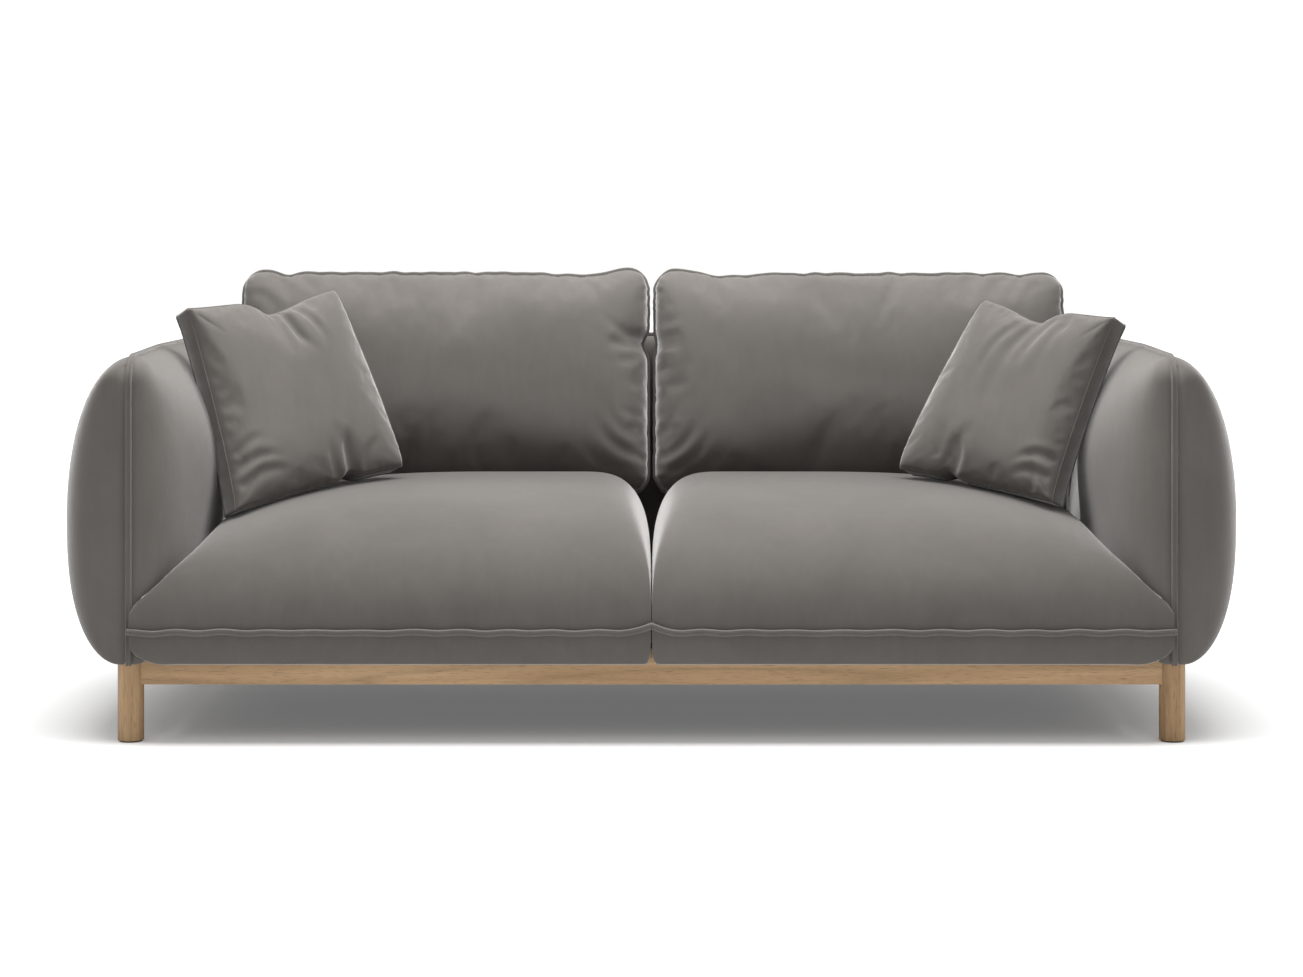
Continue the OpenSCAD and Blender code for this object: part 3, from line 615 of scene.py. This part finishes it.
def seat_panels(inset=0.0):
    """Top and bottom panel of the right seat cushion, over a grid seen from above, or of its
    filling, inset further in, which stops short of the thin corner in front of the arm."""
    across, along = np.meshgrid(spaced(96), spaced(96))
    front, rear = SEAT_LOW.y + 0.003 + inset, SEAT_HIGH.y - 0.001 - inset
    y = front + (along + 1) / 2 * (rear - front)
    outer_x = soft_least(SEAT_HIGH.x - 0.002 - 12 * inset, arm_edge(y, SEAT_TO_ARM + inset), 0.020)
    inner_x = SEAT_GAP + inset
    x = inner_x + (across + 1) / 2 * (outer_x - inner_x)
    from_in, from_out, from_front, from_rear = x - inner_x, outer_x - x, y - front, rear - y
    seam = (SEAT_SEAM_Z + 0.012 * np.exp(-from_in / 0.018)
            + 0.0012 * np.sin(70 * x + 1) * bell(from_front, 0.2))
    pressed = smooth((y - 0.13) / 0.12) * 0.059
    crown = SEAT_HIGH.z + 0.003 - pressed - inset
    further = smooth((y + 0.42) / 0.30)
    shoulder = edge_rise(SEAT_HIGH.x - x, 0.450 + 0.230 * further, 1.7 + 0.95 * further)
    top = least([shoulder, edge_rise(from_in, 0.150, 3.2),
                 edge_rise(from_out, 0.060, 2.6), edge_rise(from_front, 0.430, 2.3),
                 edge_rise(from_rear, 0.050, 2.6)], 6)
    lip_depth = 0.012 + 0.017 * smooth((SEAT_HIGH.x - x) / 0.10)
    bottom = least([edge_rise(from_in, 0.016, 3.5), edge_rise(SEAT_HIGH.x - x, 0.085, 2.2),
                    edge_rise(from_out, 0.008, 2), edge_rise(from_front, lip_depth, 2),
                    edge_rise(from_rear, 0.012, 2)], 5)
    lip = 1 - smooth((from_front - 0.0265) / 0.006)
    floor = SEAT_FLOOR_Z - (SEAT_FLOOR_Z - SEAT_LOW.z) * lip + inset
    upper = np.stack([x, y, seam + (crown - seam) * top], -1)
    lower = np.stack([x, y, seam - (seam - floor) * bottom], -1)
    return upper, lower


def make_seat(label, side):
    """A seat cushion's cover, foam core and piping, which waves a little."""
    body = f"seat_cushion_{label}"
    upper, lower = (on_side(p, side) for p in seat_panels())
    cover = facing_out(closed_skin(f"seat_{label}_velvet", upper, lower))
    core_panels = (on_side(p, side) for p in seat_panels(FILLING_INSET))
    core = facing_out(closed_skin(f"seat_{label}_foam_core", *core_panels))
    seam = resampled(border(upper), 420)
    t = np.linspace(0, 1, len(seam), endpoint=False)
    seam[:, 2] += ripples(t, 11 + side, 0.0016, (9, 17, 31, 44))
    pipe = welt(f"seat_{label}_welt", seam, (0, 0, 1), PIPE_W, PIPE_PROUD)
    finish_piece(cover, SEAT_VELVET, body, f"seat_cushion_{label}_cover")
    finish_piece(core, FOAM, body, f"seat_cushion_{label}_core")
    finish_piece(pipe, PIPING_VELVET, body, f"seat_cushion_{label}_cover")


def back_panels():
    """Front and rear panel of the back, whose ends are tucked against the arms."""
    across, up = np.meshgrid(spaced(120), spaced(56))
    half_z = (BACK_HIGH.z - BACK_LOW.z) / 2
    mid_z = (BACK_HIGH.z + BACK_LOW.z) / 2
    z_full = between(up, BACK_LOW.z, BACK_FULL_Z, BACK_HIGH.z)
    x, z = round_corners(across * BACK_HIGH.x, z_full - mid_z, BACK_HIGH.x, half_z, 0.05)
    z = z + mid_z
    fullness = least([np.where(up > 0, arch(up, 2), arch(up, 3)), arch(across, 12)], 5)
    rear_y = BACK_SEAM_Y + (BACK_HIGH.y - BACK_SEAM_Y) * fullness
    front_y = BACK_SEAM_Y - (BACK_SEAM_Y - BACK_LOW.y) * fullness
    z_arm = np.where(z > ARM_FULL_Z, (z - ARM_FULL_Z) / (ARM_HIGH.z - ARM_FULL_Z),
                     (ARM_FULL_Z - z) / (ARM_FULL_Z - ARM_LOW.z))
    arm_swell = np.where(z > ARM_FULL_Z, arch(z_arm, 2), arch(z_arm, 3))

    def fitted(y):
        """Draws the ends in to where the arm's inner panel is at that height."""
        reach = ARM_IN * arm_swell * arch(np.clip(y / ARM_HALF, -1, 1), 3)
        limit = np.minimum(SEAM_X - reach + 0.004, BACK_HIGH.x)
        return np.stack([x / BACK_HIGH.x * limit, y, z], -1)

    seam = fitted(np.full_like(z, BACK_SEAM_Y))
    front, rear = fitted(front_y), fitted(rear_y)
    for panel in (front, rear):
        panel[0], panel[-1], panel[:, 0], panel[:, -1] = seam[0], seam[-1], seam[:, 0], seam[:, -1]
    return front, rear


def make_back():
    """The back's cover, the foam pad in it and the piping round it."""
    front, rear = back_panels()
    cover = facing_out(closed_skin("back_velvet", front, rear))
    foam_pad = inset_copy(cover, "back_foam_pad", FILLING_INSET)
    pipe = welt("back_welt", border(front), (0, 1, 0), PIPE_W, PIPE_PROUD)
    finish_piece(cover, BACK_VELVET, "sofa_frame", "back_cover")
    finish_piece(foam_pad, FOAM, "sofa_frame", "back_foam")
    finish_piece(pipe, PIPING_VELVET, "sofa_frame", "back_piping")


# ---- Cushions by cloth simulation ----

def inflate(obj, held, growth, pressure, bending, frames):
    """Lets a cover's cloth be a little larger than its form, blows it up, and applies it."""
    group = obj.vertex_groups.new(name="held")
    group.add([int(i) for i in held], 1.0, "ADD")
    cloth = obj.modifiers.new("cloth", "CLOTH")
    settings = cloth.settings
    settings.quality = 5
    settings.mass = 0.15
    settings.tension_stiffness = 20
    settings.compression_stiffness = 20
    settings.shear_stiffness = 7
    settings.bending_stiffness = bending
    settings.use_pressure = True
    settings.uniform_pressure_force = pressure
    settings.effector_weights.gravity = 0
    settings.shrink_min = -growth
    settings.vertex_group_mass = "held"
    cloth.collision_settings.use_collision = False
    cloth.point_cache.frame_start = 1
    cloth.point_cache.frame_end = frames
    scene = bpy.context.scene
    scene.frame_start, scene.frame_end = 1, frames
    for number in range(1, frames + 1):
        scene.frame_set(number)
    result = obj.evaluated_get(bpy.context.evaluated_depsgraph_get()).data
    co = np.array([v.co for v in result.vertices])
    obj.modifiers.remove(cloth)
    obj.vertex_groups.remove(group)
    scene.frame_set(1)
    return co


def creases(points, lines, strength):
    """Depth of soft folds in the panel that faces -y: each line is x, z, x, z, width, depth."""
    push = np.zeros(len(points))
    for x0, z0, x1, z1, width, depth in lines:
        a, b = np.array([x0, z0]), np.array([x1, z1])
        flat = points[:, [0, 2]] - a
        length = np.linalg.norm(b - a)
        t = flat @ (b - a) / length ** 2
        away = (flat[:, 0] * (b - a)[1] - flat[:, 1] * (b - a)[0]) / length
        bent = away - 0.12 * length * np.sin(math.pi * np.clip(t, 0, 1)) * math.copysign(1, depth)
        fade = smooth(t / 0.15 + 0.5) * smooth((1.15 - t) / 0.6)
        push += abs(depth) * fade * (bell(bent, width) - 0.55 * bell(bent - 1.8 * width, width))
    return push * strength


def puckers(front, seed, wavelength, depth, reach):
    """Short folds square to the seam, where a panel's edge is eased onto its welt."""
    loop = border(front)
    step = np.linalg.norm(np.diff(np.vstack([loop, loop[:1]]), axis=0), axis=1)
    along = np.concatenate([[0], np.cumsum(step)[:-1]])
    points = front.reshape(-1, 3)
    near = np.zeros(len(points), int)
    away = np.full(len(points), 9.0)
    for k, p in enumerate(loop):
        d = np.hypot(points[:, 0] - p[0], points[:, 2] - p[2])
        closer = d < away
        away[closer], near[closer] = d[closer], k
    s = along[near] / step.sum()
    waves = step.sum() / wavelength
    uneven = 1 + ripples(s, seed, 1.2, (5, 11, 17))
    shift = ripples(s, seed + 1, 0.6, (7, 13, 23))
    folds = np.sin(2 * math.pi * (waves * s + shift)) * np.maximum(uneven, 0)
    return depth * folds * bell(away - 0.25 * reach, reach * 0.6) * smooth(away / 0.004)


def leaned(points, side):
    """From a back cushion's own frame to the sofa's."""
    turn = np.array(Matrix.Rotation(-LEAN, 3, "X"))
    return on_side(points @ turn.T + np.array(BACK_FOOT), side)


# Folds of the front panels, in each cushion's own frame: from x, z to x, z, width, depth
BC_FOLDS = {
    LEFT: [(0.006, 0.318, 0.105, 0.365, 0.009, 0.010), (0.006, 0.308, 0.095, 0.310, 0.008, 0.008),
           (0.006, 0.300, 0.085, 0.262, 0.009, 0.009), (0.010, 0.225, 0.060, 0.215, 0.007, 0.005),
           (0.012, 0.150, 0.070, 0.165, 0.008, 0.006), (0.020, 0.060, 0.120, 0.140, 0.012, 0.010),
           (0.060, 0.030, 0.150, 0.090, 0.010, 0.008), (0.030, 0.100, 0.095, 0.170, 0.010, 0.007),
           (0.140, 0.440, 0.115, 0.385, 0.010, 0.008), (0.300, 0.460, 0.285, 0.410, 0.012, 0.005),
           (0.860, 0.420, 0.800, 0.360, 0.012, 0.008), (0.820, 0.455, 0.770, 0.400, 0.010, 0.006)],
    RIGHT: [(0.012, 0.300, 0.060, 0.305, 0.008, 0.007), (0.012, 0.255, 0.055, 0.250, 0.007, 0.005),
            (0.012, 0.350, 0.065, 0.365, 0.008, 0.006), (0.016, 0.055, 0.105, 0.150, 0.010, 0.012),
            (0.040, 0.030, 0.125, 0.110, 0.010, 0.011), (0.075, 0.022, 0.160, 0.080, 0.009, 0.008),
            (0.012, 0.110, 0.060, 0.185, 0.009, 0.007), (0.700, 0.455, 0.620, 0.385, 0.016, 0.009),
            (0.770, 0.450, 0.725, 0.385, 0.013, 0.010), (0.840, 0.440, 0.800, 0.380, 0.010, 0.009),
            (0.560, 0.462, 0.540, 0.415, 0.010, 0.005)],
}


def back_cushion_cage(side):
    """A back cushion's two panels in its own frame, before its cloth is let out."""
    across, up = np.meshgrid(even(112), even(62))
    half_x, half_z = (BC_OUTER - BC_INNER) / 2, BC_H / 2
    x, z = round_corners(across * half_x, up * half_z, half_x, half_z, 0.042)
    edge = np.maximum(np.abs(across), np.abs(up)) ** 6
    turn = (np.arctan2(z / half_z, x / half_x) / (2 * math.pi)) % 1
    wave = ripples(turn, 30 + side, 0.0036, (23, 38, 54, 71)) * edge
    from_inner, from_outer = x + half_x, half_x - x
    ear = 0.010 * bell(from_inner - 0.045, 0.05) - 0.006 * bell(from_inner - 0.15, 0.07)
    outer_ear = 0.005 * bell(from_outer - 0.045, 0.03) if side == LEFT else -0.002
    notch = 0.005 * bell(from_outer - 0.092, 0.02)
    z = z + wave + edge * (ear + outer_ear - notch - 0.007) * (up > 0)
    x = x - np.sign(x) * edge * (0.004 + np.abs(wave))
    x = x + edge * BC_FLARE[side] * (across > 0)
    x = x + edge * BC_PINCH[side] * bell(z - 0.075, 0.022) * (across < 0)
    fullness = zero_edged(least([arch(across, 3.4), arch(up, 2.15)], 3))
    z = z - edge * 0.012 * bell(x + half_x - 0.025, 0.05) * (up < 0)
    centre_x = (BC_INNER + BC_OUTER) / 2
    front = np.stack([x + centre_x, BC_SEAM_Y - BC_FRONT * fullness, z + half_z], -1)
    rear = np.stack([x + centre_x, BC_SEAM_Y + BC_REAR * fullness, z + half_z], -1)
    return front, rear


def make_back_cushion(label, side):
    """A back cushion's cover, blown up and creased, its filling and its piping."""
    body = f"back_cushion_{label}"
    front, rear = back_cushion_cage(side)
    rows, cols = front.shape[:2]
    cover = closed_skin(f"back_cushion_{label}_velvet", front, rear)
    co = np.concatenate([front.reshape(-1, 3), rear[1:-1, 1:-1].reshape(-1, 3)])
    co = inflate(cover, border_indices(rows, cols), 0.008, 0.8, 0.5, 20)
    is_front = np.arange(len(co)) < rows * cols
    steps = border_distance(rows, cols, len(co))
    co[:, 1] += creases(co, BC_FOLDS[side], 0.34) * is_front * smooth(steps / 2.0)
    co[:rows * cols, 1] += puckers(front, 50 + side, 0.027, 0.0021, 0.016)
    co[:, 1] = -soft_limit(-co[:, 1], -BC_SEAM_Y + BC_FRONT - 0.030, 0.045)
    co[:, 1] = soft_limit(co[:, 1], -0.006, 0.004)
    co[:, 0] = BC_OUTER - soft_limit(BC_OUTER - co[:, 0], BC_OUTER - BC_INNER - 0.001, 0.001)
    droop = 0.013 * bell(co[:, 0] - BC_INNER - 0.025, 0.05)
    co[:, 2] = -soft_limit(-co[:, 2], droop - 0.002, 0.002)
    cover.data.vertices.foreach_set("co", leaned(co, side).ravel().astype(np.float32))
    cover.data.update()
    facing_out(cover)
    fill = inset_copy(cover, f"back_cushion_{label}_fibre", FILLING_INSET)
    seam = leaned(border(front), side)
    plane = (0, math.cos(LEAN), -math.sin(LEAN))
    pipe = welt(f"back_cushion_{label}_welt", seam, plane, BC_PIPE_W, BC_PIPE_PROUD, step=0.005)
    finish_piece(cover, BACK_VELVET, body, f"back_cushion_{label}_cover")
    finish_piece(fill, FILL, body, f"back_cushion_{label}_fill")
    finish_piece(pipe, PIPING_VELVET, body, f"back_cushion_{label}_cover")


TP_FOLDS = {
    LEFT: [(-0.012, 0.178, -0.050, 0.050, 0.016, 0.014), (-0.035, 0.175, -0.075, 0.070, 0.009, -0.010),
           (0.010, 0.180, -0.015, 0.080, 0.008, 0.008), (-0.060, 0.170, -0.110, 0.080, 0.010, 0.008),
           (0.185, -0.130, 0.085, -0.120, 0.009, 0.010), (0.180, -0.160, 0.075, -0.150, 0.009, 0.010),
           (0.175, -0.100, 0.110, -0.075, 0.008, 0.006), (-0.080, -0.195, -0.095, -0.090, 0.011, 0.014),
           (-0.045, -0.190, -0.040, -0.110, 0.009, 0.008), (-0.110, -0.190, -0.150, -0.130, 0.010, 0.008)],
    RIGHT: [(0.005, 0.178, -0.030, -0.060, 0.018, 0.012), (0.045, 0.175, 0.010, 0.020, 0.012, 0.010),
            (-0.030, 0.172, -0.095, 0.010, 0.013, 0.009), (0.080, 0.165, 0.070, 0.030, 0.013, 0.006),
            (0.185, -0.120, 0.095, -0.130, 0.009, 0.010), (0.180, -0.155, 0.090, -0.165, 0.009, 0.010),
            (-0.060, -0.195, -0.070, -0.110, 0.012, 0.013), (-0.110, -0.160, -0.140, -0.080, 0.014, 0.007),
            (0.150, -0.190, 0.120, -0.130, 0.009, 0.008)],
}


def pillow_cage(side):
    """A throw pillow's two panels in its own frame, a strip's width apart at the seams."""
    across, up = np.meshgrid(even(72), even(72))
    x, z = round_corners(across * TP_HALF, up * TP_HALF, TP_HALF, TP_HALF, 0.005)
    edge = np.maximum(np.abs(across), np.abs(up)) ** 4
    drawn_in = edge * np.where(across < 0, -TP_INNER_BULGE[side], 0.013)
    beside = np.abs(across) >= np.abs(up) * 0.98
    x = x - np.sign(x) * drawn_in * arch(z / TP_HALF, 2) * beside
    above = np.abs(up) >= np.abs(across) * 0.98
    z = z - np.sign(z) * 0.006 * edge * arch(x / TP_HALF, 2) * above
    from_chop = across * TP_HALF + 0.006
    chop = 0.030 * bell(from_chop, np.where(from_chop < 0, 0.11, 0.035)) * np.clip(up, 0, 1) ** 3
    tuck = 0.014 * bell(across * TP_HALF + 0.078, 0.020) * np.clip(-up, 0, 1) ** 5
    z = z - chop + tuck
    fullness = zero_edged(least([arch(across, 2.3), arch(up, 2.3)], 2.2))
    front = np.stack([x, -TP_SIDE - TP_BULGE * fullness, z], -1)
    rear = np.stack([x, TP_SIDE + TP_BULGE * fullness, z], -1)
    return front, rear


def cornered(points, side):
    """From a throw pillow's own frame to the sofa's, slumped into its corner."""
    turn, tilt, roll = TP_ANGLES
    rolled = points @ np.array(Matrix.Rotation(roll, 3, "Y")).T
    u, w = points[:, 0] / TP_HALF, points[:, 2] / TP_HALF
    for (corner_u, corner_w), (shift_x, shift_z) in TP_SLUMP[side].items():
        weight = (1 + corner_u * u) * (1 + corner_w * w) / 4
        rolled = rolled + weight[:, None] * np.array([shift_x, 0, shift_z])
    rotation = Matrix.Rotation(turn, 3, "Z") @ Matrix.Rotation(tilt, 3, "X")
    return on_side(rolled @ np.array(rotation).T + np.array(TP_CENTRE), side)


def make_pillow(label, side):
    """A throw pillow's cover, blown up and creased, its filling and its two fine seams."""
    body = f"throw_pillow_{label}"
    front, rear = pillow_cage(side)
    rows, cols = front.shape[:2]
    cover = closed_skin(f"throw_pillow_{label}_velvet", front, rear)
    co = np.concatenate([front.reshape(-1, 3), rear.reshape(-1, 3)])
    held = np.concatenate([border_indices(rows, cols), border_indices(rows, cols, rows * cols)])
    co = inflate(cover, held, 0.006, 0.9, 0.4, 20)
    is_front = np.arange(len(co)) < rows * cols
    steps = border_distance(rows, cols, len(co))
    co[:, 1] += creases(co, TP_FOLDS[side], 0.45) * is_front * smooth(steps / 2.5)
    co[:rows * cols, 1] += puckers(front, 70 + side, 0.021, 0.0005, 0.016)
    co[:, 1] = soft_limit(co[:, 1], 0.060, 0.010)
    co[:, 1] = -soft_limit(-co[:, 1], 0.062, 0.010)
    cover.data.vertices.foreach_set("co", cornered(co, side).ravel().astype(np.float32))
    cover.data.update()
    facing_out(cover)
    fill = inset_copy(cover, f"throw_pillow_{label}_fibre", PILLOW_FILLING_INSET)
    normal = cornered(np.array([[0, 1, 0]]), side)[0] - cornered(np.zeros((1, 3)), side)[0]
    finish_piece(cover, PILLOW_VELVET, body, f"throw_pillow_{label}_cover")
    finish_piece(fill, FILL, body, f"throw_pillow_{label}_fill")
    for place_name, panel in (("front", front), ("rear", rear)):
        seam = welt(f"throw_pillow_{label}_{place_name}_seam", cornered(border(panel), side),
                    normal, 0.003, 0.0013, 0.002, 0.004)
        finish_piece(seam, PIPING_VELVET, body, f"throw_pillow_{label}_cover")


# ---- Cloth under the seat ----

def cloth_sheet(name, low, high, sag, seed):
    """Thin sheet stapled along its edges. One that sags has slight tension ripples too."""
    u, v = np.meshgrid(np.linspace(0, 1, 61), np.linspace(0, 1, 31))
    x, y = low.x + u * (high.x - low.x), low.y + v * (high.y - low.y)
    inside = np.minimum(1, 6 * np.minimum(np.minimum(u, 1 - u), np.minimum(v, 1 - v)))
    drop = sag * np.sin(math.pi * u) * np.sin(math.pi * v)
    wrinkles = (ripples(u, seed, 0.0008, (7, 12, 19)) + ripples(v, seed + 1, 0.0005, (5, 9))) * inside
    thick = (high.z - low.z) / 2
    middle = (high.z + low.z) / 2 - drop + wrinkles * (sag > 0)
    top, bottom = np.stack([x, y, middle + thick], -1), np.stack([x, y, middle - thick], -1)
    return facing_out(closed_skin(name, top, bottom))


def make_cloths():
    """The platform cloth, flat on the deck's felt, and the dust cover under the deck."""
    for node, slot, sag, seed, colour, rests in (
            ("platform_cloth", "platform_cloth", 0.0, 3, (0.030, 0.030, 0.032), ["deck_felt"]),
            ("dust_cover", "dust_cloth", 0.004, 5, (0.022, 0.022, 0.024),
             ["deck_frame_front", "deck_frame_rear"])):
        low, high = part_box(node)
        sheet = cloth_sheet(f"{node}_fabric", low, high, sag, seed)
        finish_piece(sheet, woven(f"{node}_weave", colour, 0.0016, 0.3), "sofa_frame", node)


# ---- Materials of the CAD nodes that stay ----

def dress(nodes, material):
    """Gives CAD nodes a material."""
    for name in nodes:
        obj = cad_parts[name]
        obj.data.materials.clear()
        obj.data.materials.append(material)


def dress_frame():
    """Materials of the oak base, the pine inside, the hardware and the webbing."""
    dress([f"leg_{end}_{label}" for end in ("front", "rear") for label in SIDES], oak(2))
    dress(["front_rail", "rear_rail"], oak(0))
    dress(["left_rail", "right_rail"], oak(1))
    dress(["leg_glides"], FELT)
    dress(["rail_dowels"], beech())
    across, deep, upright = pine(0), pine(1), pine(2)
    dress(["deck_frame_front", "deck_frame_rear", "back_top_rail", "back_bottom_rail"], across)
    dress(["deck_frame_left", "deck_frame_right", "deck_frame_centre"], deep)
    dress([f"arm_{s}_{r}_rail" for s in SIDES for r in ("top", "bottom")], deep)
    dress([f"arm_{s}_{p}_post" for s in SIDES for p in ("front", "rear")], upright)
    dress([f"back_{p}_post" for p in ("left", "right", "centre")], upright)
    dress(["corner_brackets"], metal("bracket_steel", (0.42, 0.43, 0.45), 0.38, 25))
    zinc = metal("zinc", (0.66, 0.67, 0.68), 0.3, 120)
    dress(["hanger_bolts", "hanger_nuts", "bracket_screws", "deck_screws", "frame_bolts"], zinc)
    dress(["seat_webbing", "back_webbing"], woven("webbing", (0.06, 0.062, 0.068), 0.0035))
    dress(["deck_felt"], WADDING)


# ---- Setting ----

def make_floor():
    """Pale floor with painted light: a glow seen only by the camera, faint near the sofa, where it
    lightens the shadow under it, and stronger further away, so that the floor ends in white.
    """
    mesh = bpy.data.meshes.new("floor")
    half = 30.0
    mesh.from_pydata([(-half, -half, 0), (half, -half, 0), (half, half, 0), (-half, half, 0)],
                     [], [(0, 1, 2, 3)])
    floor = bpy.data.objects.new("floor", mesh)
    bpy.context.collection.objects.link(floor)
    mat, tree, shader = new_material("floor_white", 0.6, Specular_IOR_Level=0.2)
    grain = ramp(tree, noise(tree, place(tree, (1, 1, 1)), 3, 3), [(0.3, 0.76), (0.7, 0.77)])
    tree.links.new(grain, shader.inputs["Base Color"])
    # painted light: camera-only glow of 0.14 near the sofa, which lightens the shadow under it, rising to
    # 0.75 from 1 m to 3 m away
    distance = tree.nodes.new("ShaderNodeVectorMath")
    distance.operation = "LENGTH"
    tree.links.new(place(tree, (1, 1, 1)), distance.inputs[0])
    far = tree.nodes.new("ShaderNodeMapRange")
    for socket, value in zip(("From Min", "From Max", "To Min", "To Max"), (1.0, 3.0, 0.14, 0.75)):
        far.inputs[socket].default_value = value
    tree.links.new(distance.outputs["Value"], far.inputs["Value"])
    seen = tree.nodes.new("ShaderNodeLightPath")
    glow = calculated(tree, "MULTIPLY", far.outputs["Result"], seen.outputs["Is Camera Ray"])
    shader.inputs["Emission Color"].default_value = (1, 1, 1, 1)
    tree.links.new(glow, shader.inputs["Emission Strength"])
    mesh.materials.append(mat)


def make_world():
    """Light dome that is brightest overhead; the camera sees plain white."""
    world = bpy.data.worlds.new("studio")
    bpy.context.scene.world = world
    world.use_nodes = True
    tree = world.node_tree
    dome = tree.nodes["Background"]
    coord = tree.nodes.new("ShaderNodeTexCoord")
    split = tree.nodes.new("ShaderNodeSeparateXYZ")
    tree.links.new(coord.outputs["Generated"], split.inputs[0])
    sky = ramp(tree, split.outputs["Z"], [(0.0, 0.05), (0.30, 0.16), (1.0, 1.0)])
    tree.links.new(sky, dome.inputs["Color"])
    dome.inputs["Strength"].default_value = 1.25
    plain = tree.nodes.new("ShaderNodeBackground")
    plain.inputs["Color"].default_value = (1, 1, 1, 1)
    plain.inputs["Strength"].default_value = 1.0
    path = tree.nodes.new("ShaderNodeLightPath")
    mix = tree.nodes.new("ShaderNodeMixShader")
    tree.links.new(path.outputs["Is Camera Ray"], mix.inputs["Fac"])
    tree.links.new(dome.outputs[0], mix.inputs[1])
    tree.links.new(plain.outputs[0], mix.inputs[2])
    tree.links.new(mix.outputs[0], tree.nodes["World Output"].inputs["Surface"])


def make_light(name, place_at, aim, size, watts):
    """Rectangular soft light aimed at a point."""
    light = bpy.data.lights.new(name, "AREA")
    light.shape = "RECTANGLE"
    light.size, light.size_y = size
    light.energy = watts
    obj = bpy.data.objects.new(name, light)
    obj.location = place_at
    obj.rotation_euler = (Vector(aim) - Vector(place_at)).to_track_quat("-Z", "Y").to_euler()
    bpy.context.collection.objects.link(obj)


def make_camera():
    """Level camera in front of the sofa, with its horizon raised in the picture."""
    camera = bpy.data.cameras.new("camera")
    camera.sensor_width = 36
    camera.lens = 76.8
    camera.shift_y = -0.19
    obj = bpy.data.objects.new("camera", camera)
    obj.location = (0, -5.765, 0.96)
    obj.rotation_euler = (math.pi / 2, 0, 0)
    bpy.context.collection.objects.link(obj)
    bpy.context.scene.camera = obj


make_camera()
make_world()
make_floor()
make_light("overhead", (0, -0.35, 3.4), (0, 0, 0.3), (3.8, 1.4), 192)
bpy.context.scene.view_settings.view_transform = "Standard"

dress_frame()
make_cloths()
make_back()
for label, side in SIDES.items():
    make_arm(label, side)
    make_seat(label, side)
    make_back_cushion(label, side)
    make_pillow(label, side)
